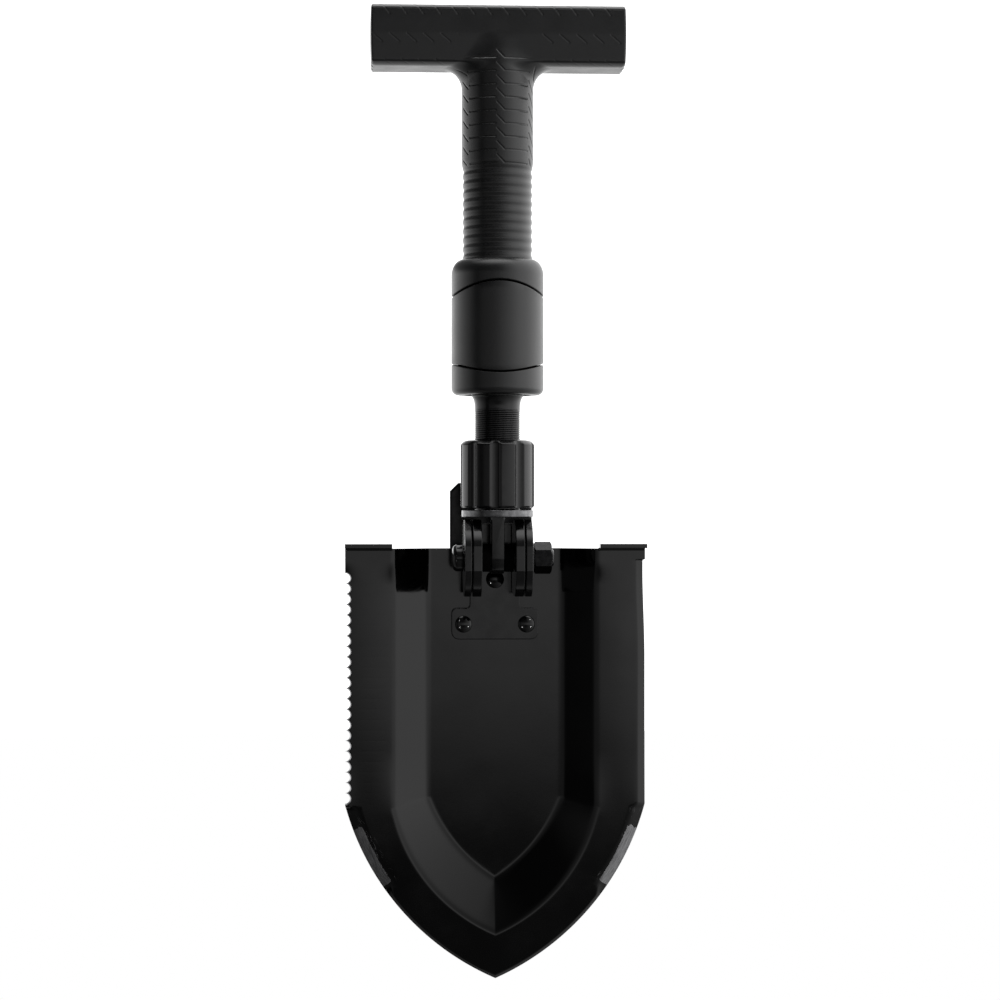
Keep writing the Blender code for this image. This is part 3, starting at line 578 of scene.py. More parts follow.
def path_to_tip(x, end, tip, radius, steps):
    """Straight line down at x, then an arc to the centre line, with its centre on the x < 0 side."""
    a = Vector((x, end))
    b = Vector((0, tip))
    half = (b - a) / 2
    normal = Vector((-half.y, half.x)).normalized()
    if normal.x > 0:
        normal = -normal
    centre = (a + b) / 2 + normal * sqrt(radius ** 2 - half.length ** 2)
    first, last = [degrees(atan2(p.y - centre.y, p.x - centre.x)) for p in (a, b)]
    return np.array([(x, BEND_Z + 2)] + arc(centre, radius, first, last, steps))


def sample_rows(path, heights):
    """Points at the given heights, then evenly spaced down to the path's end."""
    x = np.interp(-heights, -path[:, 1], path[:, 0])
    upper = np.stack([x, heights], axis=1)
    rest = np.concatenate([upper[-1:], path[path[:, 1] < heights[-1] - 1e-6]])
    length = np.concatenate([[0], np.cumsum(np.linalg.norm(np.diff(rest, axis=0), axis=1))])
    stops = np.linspace(0, length[-1], LOWER_ROWS + 1)[1:]
    lower = np.stack([np.interp(stops, length, rest[:, i]) for i in (0, 1)], axis=1)
    return np.concatenate([upper, lower])


def segment_distance(u, v, a, b):
    """Distance from points to the line from a to b."""
    du = b[0] - a[0]
    dv = b[1] - a[1]
    t = np.clip(((u - a[0]) * du + (v - a[1]) * dv) / (du * du + dv * dv), 0, 1)
    return np.hypot(u - a[0] - t * du, v - a[1] - t * dv)


def distance_to(path, x, z):
    """Distance from points to a polyline."""
    best = np.full(x.shape, 1e9)
    for a, b in zip(path[:-1], path[1:]):
        best = np.minimum(best, segment_distance(x, z, a, b))
    return best


def soft_ramp(t, rounding):
    """0 below 0, t up to 1, then 1, with both bends rounded."""
    low = np.where(t < -rounding, 0, (t + rounding) ** 2 / (4 * rounding))
    middle = np.where(t > rounding, t, low)
    high = 1 - (1 + rounding - t) ** 2 / (4 * rounding)
    return np.where(t > 1 + rounding, 1, np.where(t > 1 - rounding, high, middle))


def saw_gap(x, z):
    """Distance from the nearest scallop's rim, for points on the saw side."""
    half = SAW_PITCH / 2
    index = np.clip(np.round((SAW_TOP - half - z) / SAW_PITCH), 0, SAW_TEETH - 1)
    centre = SAW_TOP - half - index * SAW_PITCH
    return np.hypot((x - span("blade")[0].x) * half / SAW_DEPTH, z - centre) - half


def blade_rows():
    """Heights of the rows that run straight across, from the bend to the end of the saw edge."""
    rows = list(np.linspace(BEND_Z, SAW_TOP, 26)[:-1])
    for tooth in range(SAW_TEETH):
        top = SAW_TOP - tooth * SAW_PITCH
        rows += [top - SAW_PITCH * (1 - cos(pi * k / TOOTH_ROWS)) / 2 for k in range(TOOTH_ROWS)]
    return np.array(rows + [SAW_END])


def half_blade(side, heights):
    """Grid of one half from the centre line to the edge: its points and their grinding."""
    low, high = span("blade")
    inner_path, outer_path = [path_to_tip(*fold.values(), 40) for fold in (INNER_FOLD, OUTER_FOLD)]
    edge_path = path_to_tip(high.x, SHOULDER_Z, low.z, POINT_RADIUS, 60)
    inner, outer, edge = [sample_rows(path, heights) for path in (inner_path, outer_path, edge_path)]
    straight = len(heights)
    z = edge[:straight, 1]
    if side < 0:
        phase = np.clip((SAW_TOP - z) / SAW_PITCH, 0, SAW_TEETH)
        across = (phase - np.floor(phase)) * 2 - 1
        edge[:straight, 0] -= SAW_DEPTH * np.sqrt(np.clip(1 - across ** 2, 0, 1)) * (phase > 0)
    else:
        under_tab = 1 - smoothstep(z, -1.8, -1)
        edge[:straight, 0] -= RIGHT_STEP * under_tab * smoothstep(z, *RIGHT_STEP_RUN)
    centre = inner * np.array([0, 1])
    strips = ((centre, inner, PANEL_SHARES), (inner, outer, WALL_SHARES), (outer, edge, FLANGE_SHARES))
    flat = np.stack([start * (1 - share) + end * share for start, end, shares in strips
                     for share in shares], axis=1)
    x = flat[..., 0]
    z = flat[..., 1]
    y = blade_depth(x, z, inner_path, outer_path)
    return np.stack([side * x, y, z], axis=-1), edge_grinding(side, x, z, edge_path, high.x)


def edge_grinding(side, x, z, edge_path, half_width):
    """Two values for each point: place inside the edge's bevel (1 at the edge, 0 where the bevel
    starts), and how far inside the bare stretch it is.
    """
    start, end = BARE_STRETCH
    along = -(x * sin(BARE_LEAN) + z * cos(BARE_LEAN))
    width = POINT_BEVEL - BEVEL_LOSS * smoothstep(along, end - 1, end + 7)
    point = 1 - distance_to(edge_path, x, z) / width
    fade = smoothstep(z, SHOULDER_Z + 1, SHOULDER_Z - 2)
    if side < 0:
        in_saw = (z < SAW_TOP + 0.3) & (z > SAW_END - 0.3)
        straight = np.where(in_saw, 1 - saw_gap(-x, z) / SAW_BEVEL, -1)
        worn = straight
    else:
        step = RIGHT_STEP * smoothstep(z, *RIGHT_STEP_RUN)
        straight = np.where(z > -1.4, -1, 1 - (half_width - step - x) / SIDE_BEVEL)
        worn = np.full(z.shape, -1)
    bevel = straight * (1 - fade) + point * fade
    stretch = np.minimum((along - start) / BARE_FADES[0], (end - along) / BARE_FADES[1])
    bare = worn * (1 - fade) + np.minimum(point, stretch) * fade
    return np.clip(np.stack([bevel, bare], axis=-1), -1, 1)


def blade_depth(x, z, inner_path, outer_path):
    """Depth of the sheet's front surface: recessed panel, sloping walls, crowned flange."""
    width = OUTER_FOLD["x"] - INNER_FOLD["x"]
    from_inner = distance_to(inner_path, x, z)
    from_outer = distance_to(outer_path, x, z)
    t = from_inner / np.maximum(from_inner + from_outer, 1e-9)
    t[:, :WALL_START] = -from_inner[:, :WALL_START] / width
    t[:, FLANGE_START:] = 1 + from_outer[:, FLANGE_START:] / width
    from_crest = np.clip(from_outer, 0, 2 * CROWN_HALF) - CROWN_HALF
    from_crest[:, :FLANGE_START] = CROWN_HALF
    crown = from_crest ** 2 / (2 * FLANGE_CURVE) * np.clip(t, 0, 1)
    crown = crown * window(z, -124, -92, -14, -1)
    return span("blade")[1].y - SHEET - RECESS * soft_ramp(t, FOLD_ROUNDING) + crown


def build_blade():
    """Pressed sheet in one piece with its foot tabs, ground on the edges."""
    heights = blade_rows()
    right, ground_right = half_blade(1, heights)
    left, ground_left = half_blade(-1, heights)
    grid = np.concatenate([left[:, :0:-1], right], axis=1)
    ground = np.concatenate([ground_left[:, :0:-1], ground_right], axis=1)
    rows, columns = ground.shape[:2]
    faces = grid_faces(rows, columns)
    points = [grid.reshape(-1, 3)]
    values = [ground.reshape(-1, 2)]
    offset = rows * columns
    half = left.shape[1] - 1
    inner_left = half - TAB_START
    inner_right = half + TAB_START

    # A straight strip between the tabs, up to the sheet's top edge, and the tabs, bent forward
    flange_y = grid[0, 0, 1]
    bend = [(flange_y - BEND_RADIUS * (1 - cos(a)), BEND_Z + BEND_RADIUS * sin(a))
            for a in np.linspace(0, pi / 2, 9)[1:]]
    tab = bend + [(y, bend[-1][1]) for y in np.linspace(bend[-1][0], span("blade")[0].y, 9)[1:]]
    for first, last, places in ((inner_left, inner_right, [(None, TOP_EDGE)]),
                                (0, inner_left, tab), (inner_right, columns - 1, tab)):
        previous = range(first, last + 1)
        width = len(previous)
        for y, z in places:
            row = grid[0, first:last + 1].copy()
            row[:, 2] = z
            if y is not None:
                row[:, 1] = y
            points.append(row)
            values.append(np.full((width, 2), -1))
            current = range(offset, offset + width)
            faces += [(previous[k + 1], previous[k], current[k], current[k + 1]) for k in range(width - 1)]
            previous = current
            offset += width

    # One point for each place, so that both halves share their seam below the point of the folds
    front = np.concatenate(points)
    _, first_index, same = np.unique(np.round(front, 3), axis=0, return_index=True, return_inverse=True)
    front = front[first_index]
    value = np.concatenate(values)[first_index]
    quads = same.reshape(-1)[np.array(faces)]
    quads = quads[np.array([len(set(q)) > 2 for q in quads.tolist()])]
    normals = vertex_normals(front, quads)
    panel_point = np.argmin(np.abs(front[:, 0]) + np.abs(front[:, 2] + 60))
    if normals[panel_point, 1] > 0:
        quads = quads[:, ::-1]
        normals = -normals
    back = front - normals * SHEET
    front[:, 1] += np.clip(value[:, 0], 0, 1) * (SHEET - THIN_EDGE)
    count = len(front)
    faces = [tuple(q) for q in quads] + [tuple(q[::-1] + count) for q in quads]
    faces += [(b, a, a + count, b + count) for a, b in boundary(quads)]
    faces = [tuple(dict.fromkeys(int(i) for i in face)) for face in faces]
    data = mesh_from(np.concatenate([front, back]), [face for face in faces if len(face) > 2], 0)
    for column, name in enumerate(("edge", "bare")):
        attribute = data.attributes.new(name, "FLOAT", "POINT")
        both = np.concatenate([value[:, column], np.full(count, -1)])
        attribute.data.foreach_set("value", both.astype(np.float32))
    make_piece("blade_sheet", data, "blade")


# Hinge plates and fasteners

EAR_RADIUS = 18.8
EAR_EDGE = 0.3
INNER_EAR = (7.8, 11.9)
OUTER_EAR = (12.6, 15.7)
BRACKET_WEB = 3.5
BRACKET_NECK_TOP = 16
BRACKET_WIDE_TOP = -24.5
SADDLE_PLATE = 3.2
SADDLE_CORNER = 4
SADDLE_EDGE = 1.1
BOLT_HOLE = 4.1
BOLT_SHANK = 4
RIVET_SHANK = 2.4
RIVET_TAIL = 1.2
HEX_RIM = 1


def hinge_ears(band, back_y, arm_low, arm_high, flat):
    """Two near-discs with flats above, in front and below, and an arm to the back."""
    corner = degrees(acos(flat / EAR_RADIUS))
    low_start = degrees(asin(arm_low / EAR_RADIUS))
    high_end = degrees(asin(arm_high / EAR_RADIUS))
    outline = [(back_y, arm_low)]
    for start, end, steps in ((low_start, -90 + corner, 16), (-90 - corner, -180 + corner, 16),
                              (180 - corner, 90 + corner, 16), (90 - corner, high_end, 8)):
        outline += arc((0, 0), EAR_RADIUS, start, end, steps)
    outline.append((back_y, arm_high))
    return [prism(outline, "X", *sorted((side * band[0], side * band[1]))) for side in (-1, 1)]


def build_front_bracket():
    low, high = span("front_bracket")
    back = high.y
    neck = INNER_EAR[1]
    top = BRACKET_NECK_TOP
    right = [(high.x, low.z), (high.x, BRACKET_WIDE_TOP), (neck, BRACKET_WIDE_TOP), (neck, top)]
    outline = [(-high.x, low.z)] + right + [(-x, z) for x, z in right[:0:-1]]
    outline = soften(outline, [4, 4, 3, 2, 1.5, 1.5, 2, 3], 6)
    ears = hinge_ears(INNER_EAR, back - 1, 2 - EAR_RADIUS, top - 1, -low.y)
    data = combine(prism(outline, "Y", back - BRACKET_WEB, back), ears, "UNION")
    data = bevelled(drilled(data, BOLT_HOLE), EAR_EDGE)
    make_piece("hinge_bracket", data, "front_bracket", GLOSS_STEEL, FLAT_SHARP)


def build_rear_saddle():
    low, high = span("rear_saddle")
    back = high.y
    c = SADDLE_CORNER
    outline = [(low.x, low.z), (high.x, low.z), (high.x, high.z - c), (high.x - c, high.z)]
    outline += [(low.x + c, high.z), (low.x, high.z - c)]
    outline = soften(outline, [3, 3, 0.8, 0.8, 0.8, 0.8], 4)
    plate = bevelled(prism(outline, "Y", back - SADDLE_PLATE, back), SADDLE_EDGE, 5)
    ears = hinge_ears(OUTER_EAR, back - 1, TOP_EDGE + 0.7, BRACKET_NECK_TOP, -low.y)
    data = combine(plate, [bevelled(ear, EAR_EDGE) for ear in ears], "UNION")
    make_piece("hinge_saddle", drilled(data, BOLT_HOLE), "rear_saddle", SADDLE_STEEL, FLAT_SHARP)


def build_rivets():
    """Domed heads in front, upset tails behind."""
    seat = span("front_bracket")[1].y - BRACKET_WEB - 0.3
    for name in ("rivet_left", "rivet_right", "rivet_centre"):
        low, high = span(name)
        head = half_of(name).x
        tail = high.y - RIVET_TAIL
        profile = [(head * u, seat + (seat - low.y) * v) for u, v in arc((0, 0), 1, -90, 0, 12)]
        profile += [(head * 0.97, seat + 0.25), (RIVET_SHANK, seat + 0.25), (RIVET_SHANK, tail)]
        profile += [(head * 0.9, tail), (head, tail + 0.3), (head * 0.92, high.y - 0.25)]
        profile += [(head * 0.7, high.y), (0, high.y)]
        centre = middle_of(name)
        data = turned(profile, 48, None, "Y", (centre.x, 0, centre.z))
        make_piece(name + "_head", data, name, GLOSS_STEEL)


def build_hinge_bolt():
    low, high = span("pivot_bolt")
    head = half_of("pivot_bolt").z
    seat = -OUTER_EAR[1] - 0.3
    profile = [(0, low.x), (head * 0.55, low.x), (head * 0.86, low.x + 0.55), (head, low.x + 1.9)]
    profile += [(head, seat), (BOLT_SHANK, seat), (BOLT_SHANK, high.x - 0.5)]
    profile += [(BOLT_SHANK - 0.5, high.x), (0, high.x)]
    profile = soften(profile, [0, 1.5, 1.2, 0.8, 0.3, 0, 0.2, 0.2, 0], 5)
    make_piece("hinge_bolt", turned(profile, 64, None, "X"), "pivot_bolt", GLOSS_STEEL)

    low, high = span("pivot_nut")
    flats = half_of("pivot_nut").y
    sixth = pi / 3

    def hexagon(angle, radius, height):
        side = flats / np.cos(np.abs((angle + sixth / 2) % sixth - sixth / 2))
        return np.where(radius > BOLT_HOLE + 1e-6, np.minimum(radius, side), radius), height

    corner = flats / cos(sixth / 2)
    profile = [(BOLT_HOLE, low.x), (corner - HEX_RIM, low.x), (corner, low.x + HEX_RIM * 0.6)]
    profile += [(corner, high.x - HEX_RIM * 0.6), (corner - HEX_RIM, high.x), (BOLT_HOLE, high.x)]
    fine = [(r0 + (r1 - r0) * k / 6, x0 + (x1 - x0) * k / 6)
            for (r0, x0), (r1, x1) in zip(profile, profile[1:] + profile[:1]) for k in range(6)]
    make_piece("hinge_nut", turned(fine, 144, hexagon, "X"), "pivot_nut", NUT_STEEL)

    low, high = span("pivot_washer")
    data = ring(BOLT_HOLE, half_of("pivot_washer").z, low.x, high.x, 0.2, 3, 80, "X")
    make_piece("hinge_washer", data, "pivot_washer")


# Stem, lock nut and washer

THREAD_LEAD = 2
THREAD_STARTS = 2
THREAD_DEPTH = 0.55
THREAD_RADIUS = 10.6
STEM_BOTTOM = 19.4
NECK_BOTTOM = 69.8
NECK_TOP = 75.4
PLUG_STEP = 1.9
TONGUE_HALF = 3
TONGUE_RADIUS = 7.4
CLEARANCE = 0.3
TUBE_RADIUS = 12.5
TUBE_BORE = 10.9
PIN_RADIUS = half_of("stem_pin").z
PIN_HEIGHT = middle_of("stem_pin").z


def build_threaded_stem():
    """Threaded shank with a turned neck above and a flat tongue below."""
    top = span("threaded_stem")[1].z
    neck = half_of("threaded_stem").x
    profile = [(0, STEM_BOTTOM), (THREAD_RADIUS - 1.3, STEM_BOTTOM)]
    z = STEM_BOTTOM + 1
    while z < NECK_BOTTOM:
        profile.append((THREAD_RADIUS, z))
        z += THREAD_LEAD / THREAD_STARTS / 8
    for i in range(1, 13):
        angle = radians(90 * i / 12)
        profile.append((THREAD_RADIUS + (neck - THREAD_RADIUS) * (1 - cos(angle)),
                        NECK_BOTTOM + (NECK_TOP - NECK_BOTTOM) * sin(angle)))
    shelf = span("inner_tube")[0].z - CLEARANCE
    plug = neck - PLUG_STEP
    profile += [(neck, shelf), (plug, shelf), (plug, top - 0.6), (plug - 0.6, top), (0, top)]

    def thread(angle, radius, height):
        phase = (THREAD_STARTS * (height / THREAD_LEAD - angle / (tau))) % 1
        wave = np.clip(np.abs(phase - 0.5) * 5 - 1.3, 0, 1)
        fade = smoothstep(height, NECK_BOTTOM, NECK_BOTTOM - 2.5)
        threaded = (radius > THREAD_RADIUS - 0.01) & (height < NECK_BOTTOM) & (height > STEM_BOTTOM + 0.5)
        return radius - THREAD_DEPTH * wave * fade * threaded, height

    outline = [(TONGUE_RADIUS, STEM_BOTTOM + 2)] + arc((0, 0), TONGUE_RADIUS, 0, -180, 40)
    outline.append((-TONGUE_RADIUS, STEM_BOTTOM + 2))
    tongue = bevelled(prism(outline, "X", -TONGUE_HALF, TONGUE_HALF), 0.4)
    data = drilled(combine(turned(profile, 96, thread), [tongue], "UNION"), BOLT_HOLE)
    data = drilled(data, PIN_RADIUS + CLEARANCE, PIN_HEIGHT, 32)
    make_piece("stem", data, "threaded_stem", STEM_STEEL)


FLUTES = 9
FLUTE_RADIUS = 3.4
FLUTE_AXIS = 19.3
FLUTE_FIRST = radians(-96)
NUT_RADIUS = 17.2
NUT_BORE = 10.9


def build_lock_nut():
    """Long nut with nine grip flutes and a rounded top, and the washer under it."""
    low, high = span("lock_nut")
    profile = [(NUT_BORE, low.z), (NUT_RADIUS - 0.9, low.z), (NUT_RADIUS, low.z + 0.9)]
    profile += [(NUT_RADIUS, high.z - 2.2), (NUT_RADIUS - 1.6, high.z - 0.6)]
    profile += [(NUT_RADIUS - 3.8, high.z), (NUT_BORE, high.z)]
    profile = soften(profile, [0.4, 0.5, 0.5, 1.6, 1, 0.8, 0.4], 5)

    def flutes(angle, r, height):
        pitch = tau / FLUTES
        turn = (angle - FLUTE_FIRST) % pitch
        turn = np.minimum(turn, pitch - turn)
        reach = FLUTE_RADIUS ** 2 - (FLUTE_AXIS * np.sin(turn)) ** 2
        groove = FLUTE_AXIS * np.cos(turn) - np.sqrt(np.maximum(reach, 0))
        groove = np.where(reach > 0, groove, FLUTE_AXIS)
        rim = np.exp(-((r - groove) / 0.35) ** 2) * 0.12
        return np.where(r > NUT_BORE + 1.5, np.minimum(r, groove) - rim, r), height

    make_piece("lock_nut_body", turned(profile, 360, flutes), "lock_nut")

    low, high = span("thrust_washer")
    data = ring(NUT_BORE, half_of("thrust_washer").x, low.z, high.z, 0.45, 4, 128)
    make_piece("lock_washer", data, "thrust_washer")


def build_inner_tube():
    """Inner tube of the telescope, with its cross pin."""
    low, high = span("inner_tube")
    data = ring(TUBE_BORE, TUBE_RADIUS, low.z, high.z, 0.3, 3, 128)
    make_piece("telescope_tube", drilled(data, PIN_RADIUS + CLEARANCE, PIN_HEIGHT, 32), "inner_tube")

    half = half_of("stem_pin").x
    data = ring(0, PIN_RADIUS, -half, half, [0, 0.4, 0.4, 0], 3, 40, "X", PIN_HEIGHT)
    make_piece("stem_cross_pin", data, "stem_pin")


# Collar

TOP_SEAM = (124.8, 3.3)
BOTTOM_SEAM = (88.2, 2.1)
SEAM_HALF = 0.4
SEAM_EDGE = 0.35
SEAM_MARK = 1000
LIP_INSET = 2.2
LIP_SLOPE = 1.1
COLLAR = 21.5
COLLAR_BORE = 14.5
MOUTH_RIM = 3.2
WIPER_LIP = 12.7


def top_seam(angle):
    return TOP_SEAM[0] - TOP_SEAM[1] * np.cos(2 * angle)


def bottom_seam(angle):
    return BOTTOM_SEAM[0] + BOTTOM_SEAM[1] * np.cos(2 * angle)


def to_seam(profile, seam, shift):
    """Turned solid whose profile heights near SEAM_MARK are measured from a seam, shifted up."""

    def shape(angle, radius, height):
        on_seam = seam(angle) + shift + height - SEAM_MARK
        return radius, np.where(height > 0.9 * SEAM_MARK, on_seam, height)

    return turned(profile, 256, shape)


def build_collar():
    """Plain band between two wavy seams, the rounded ring under it and the wiper in its mouth."""
    length = TOP_SEAM[0] - BOTTOM_SEAM[0]
    e = SEAM_EDGE / length
    lip = (2 * SEAM_HALF - 0.04) / length
    foot = COLLAR - LIP_INSET
    r = COLLAR

    # Heights here run from 0 at the lower seam to 1 at the upper one
    profile = [(COLLAR_BORE, -lip), (foot - LIP_SLOPE, -lip), (foot, 0)]
    profile += [(r - SEAM_EDGE, 0), (r - 0.1, 0.3 * e), (r, e)] + [(r, k / 12) for k in range(1, 12)]
    profile += [(r, 1 - e), (r - 0.1, 1 - 0.3 * e), (r - SEAM_EDGE, 1)]
    profile += [(foot, 1), (foot - LIP_SLOPE, 1 + lip), (COLLAR_BORE, 1 + lip)]

    def band(angle, radius, height):
        low = bottom_seam(angle) + SEAM_HALF
        return radius, low + (top_seam(angle) - SEAM_HALF - low) * height

    make_piece("twist_band", turned(profile, 256, band), "collar_band")

    low = span("lower_ring")[0].z
    wiper = half_of("wiper_ring").x + CLEARANCE
    shelf = span("outer_tube")[0].z - CLEARANCE
    profile = [(COLLAR_BORE, SEAM_MARK), (COLLAR_BORE, shelf), (wiper, shelf), (wiper, low + 0.4)]
    profile.append((wiper + 0.4, low))
    profile += arc((r - MOUTH_RIM, low + MOUTH_RIM), MOUTH_RIM, -90, 0, 14)
    profile += [(r, low + 6.5), (r, SEAM_MARK - SEAM_EDGE), (r - 0.1, SEAM_MARK - 0.3 * SEAM_EDGE)]
    profile.append((r - SEAM_EDGE, SEAM_MARK))
    make_piece("mouth_ring", to_seam(profile, bottom_seam, -SEAM_HALF), "lower_ring")

    low, high = span("wiper_ring")
    outer = half_of("wiper_ring").x
    profile = [(WIPER_LIP, low.z + 0.8), (WIPER_LIP + 0.7, low.z), (outer, low.z), (outer, high.z)]
    profile += [(WIPER_LIP + 0.7, high.z), (WIPER_LIP, high.z - 0.8)]
    make_piece("wiper", turned(soften(profile, 0.3, 4), 128), "wiper_ring")


# T grip

GRIP_LOW, GRIP_HIGH = span("t_grip")
BAR_TOP = GRIP_HIGH.z
BAR_HEIGHT = 26.6
BAR_BOTTOM = BAR_TOP - BAR_HEIGHT
BAR_LENGTH = GRIP_HIGH.x
BAR_DEPTH = 14.5
BAR_CREASE = 242.3
BAR_TILT = 0.025
TOP_FLAT = 10
TOP_CREASE_DROP = 2.2
BOTTOM_FLAT = 8
BOTTOM_CREASE_RISE = 1.5
GRIP_RADIUS = 16.7
GRIP_FADE = 241
RIB_RADIUS = 16.2
RIB_TOP = 182
RIB_BOTTOM = 138.5
RIB_PITCH = 4.25
RIB_DEPTH = 0.38
SHOULDER_BOTTOM = 131.5
SHOULDER_TOP = 139
GRIP_END = GRIP_LOW.z - 5
GROOVE_WIDTH = 0.3
GROOVE_DEPTH = 0.26
BAR_GROOVE_DEPTH = 0.17
CREASE_GROOVE = 0.12
CREASE_WIDTH = 0.45
SLASH_PITCH = 7.86
RING_PITCH = 6.07
RING_TOP = 231
RING_COUNT = 9
PANEL_EDGE = radians(53) * GRIP_RADIUS
PANEL_GAP = 1
BORE_STEP = 0.28
VOXEL = 0.56

# Rows of slashes on the bar: top, bottom, run, phase and the width kept clear in the middle
SLASH_ROWS = [
    (BAR_TOP + 2.5, BAR_TOP - 5, 4.6, 0, 0),
    (BAR_CREASE - 0.4, BAR_CREASE - 4.1, 4.3, 0.6, 14),
    (BAR_BOTTOM + 0.4, BAR_BOTTOM - 5.5, 4, 0.3, 22),
]


def curved_edge(y, flat, rise):
    """How far the bar's top or underside has curved away: nothing in the middle, rise at its creases."""
    return rise * (np.maximum(np.abs(y) - flat, 0) / (BAR_DEPTH - flat)) ** 2


def bar_field(p):
    """Distance to the T bar: two slightly tilted facets on each side, curved top and bottom, domed ends."""
    x, y, z = np.abs(p[:, 0]), np.abs(p[:, 1]), p[:, 2]
    side = y - BAR_DEPTH + BAR_TILT * (np.sqrt((z - BAR_CREASE) ** 2 + 0.25) - 0.5)
    top = (z - BAR_TOP + curved_edge(y, TOP_FLAT, TOP_CREASE_DROP)) * 0.75
    bottom = (BAR_BOTTOM - BOTTOM_CREASE_RISE + curved_edge(y, BOTTOM_FLAT, BOTTOM_CREASE_RISE) - z) * 0.9
    section = round_max(round_max(side, top, 0.5), bottom, 0.5)
    middle = (BAR_BOTTOM + BAR_TOP) / 2
    dome = 0.35 * ((y / 14) ** 2 + ((z - middle) / 13.5) ** 2)
    return round_max(section, x - BAR_LENGTH + dome, 0.9)


def grip_radius_at(z):
    """Radius of the grip's turned form: shoulder, ribbed stretch, grip."""
    turn = np.clip((z - SHOULDER_BOTTOM) / (SHOULDER_TOP - SHOULDER_BOTTOM), 0, 1)
    shoulder = RIB_RADIUS + (COLLAR - RIB_RADIUS) * np.sqrt(1 - turn ** 2)
    upper = RIB_RADIUS + (GRIP_RADIUS - RIB_RADIUS) * smoothstep(z, RIB_TOP - 1.5, RIB_TOP + 2.5)
    return np.where(z < SHOULDER_TOP, shoulder, upper)


def grip_field(p):
    """Distance to bar and grip, joined with a wide fillet under the bar and a soft one in front."""
    x, y, z = p.T
    radial = np.hypot(x, y)
    grip = radial - grip_radius_at(z) + 3 * smoothstep(z, BAR_BOTTOM - 2, GRIP_FADE)
    grip = round_max(grip, z - GRIP_FADE - 1, 3)
    sideways = np.clip(np.abs(x) / np.maximum(radial, 1e-6), 0, 1)
    return np.maximum(round_min(bar_field(p), grip, 3 + 6 * sideways ** 3), GRIP_END - z)


def field_gradient(p):
    step = 0.02
    base = grip_field(p)
    slope = np.empty_like(p)
    for axis in range(3):
        moved = p.copy()
        moved[:, axis] += step
        slope[:, axis] = (grip_field(moved) - base) / step
    return base, slope


def project(p, rounds):
    """Moves points onto the surface of the grip's distance field."""
    for _ in range(rounds):
        value, slope = field_gradient(p)
        size = np.maximum((slope ** 2).sum(axis=1), 0.05)
        p = p - slope * np.clip(value / size, -2, 2)[:, None]
    return p


def cut_line(depth, u, v, a, b):
    """Deepens a groove pattern, 0 to 1, along the line from a to b."""
    return np.maximum(depth, np.exp(-(segment_distance(u, v, a, b) / GROOVE_WIDTH) ** 4))


def bar_pattern(p, normal):
    """Depth of the slashes cut into the bar, the same on both sides, and of its creases."""
    x, y, z = p.T
    over = np.abs(y)
    u = x * np.where(y < 0, 1, -1)
    rolled = np.where(z > BAR_TOP - 4, z + (BAR_DEPTH - over), z)
    rolled = np.where(z < BAR_BOTTOM + 1, z - (BAR_DEPTH - over), rolled)
    depth = np.zeros(len(p))
    count = int(BAR_LENGTH / SLASH_PITCH) + 1
    for top, bottom, run, phase, clear in SLASH_ROWS:
        for k in range(-count, count + 1):
            start = (k + phase) * SLASH_PITCH
            if clear <= abs(start + run / 2) <= BAR_LENGTH - 2.5:
                depth = cut_line(depth, u, rolled, (start, top), (start + run, bottom))
    flat_end = smoothstep(BAR_LENGTH - np.abs(x), 0.8, 1.6)
    depth = depth * (np.abs(normal[:, 1]) > 0.1) * flat_end * BAR_GROOVE_DEPTH
    for height in (BAR_TOP - TOP_CREASE_DROP, BAR_BOTTOM):
        side = BAR_DEPTH - BAR_TILT * (abs(height - BAR_CREASE) - 0.5)
        distance = np.hypot(over - side, z - height)
        depth = np.maximum(depth, CREASE_GROOVE * np.exp(-(distance / CREASE_WIDTH) ** 2) * flat_end)
    return depth


def grip_pattern(p):
    """Depth of the ring grooves, the short diagonals between them and the slashes at the sides."""
    x, y, z = p.T
    front = np.where(y < 0, 1, -1)
    around = np.arctan2(x * front, -y * front) * GRIP_RADIUS
    edge = PANEL_EDGE
    gap = PANEL_GAP
    depth = np.zeros(len(p))
    for k in range(RING_COUNT):
        h = RING_TOP - k * RING_PITCH
        for a, b in (((-edge, h), (-gap - 0.6, h)), ((gap + 1.6, h), (edge, h)),
                     ((-gap, h + 3.7), (gap + 1.6, h)), ((edge + 1.2, h + 2.6), (edge + 6, h - 3.2)),
                     ((-edge - 6, h + 2.2), (-edge - 1.2, h - 1.4))):
            depth = cut_line(depth, around, z, a, b)
    where = window(z, RIB_TOP - 0.5, RIB_TOP + 0.5, BAR_BOTTOM + 4, BAR_CREASE - 4)
    near = smoothstep(np.hypot(x, y), GRIP_RADIUS + 5, GRIP_RADIUS + 1.5)
    return depth * where * near * GROOVE_DEPTH


def rib_pattern(z):
    """Depth of the soft hoops between grip and shoulder."""
    wave = 0.5 - 0.5 * np.cos(tau * (RIB_TOP - z) / RIB_PITCH)
    return RIB_DEPTH * wave * window(z, RIB_BOTTOM - 0.5, RIB_BOTTOM + 3, RIB_TOP - 2, RIB_TOP + 0.5)


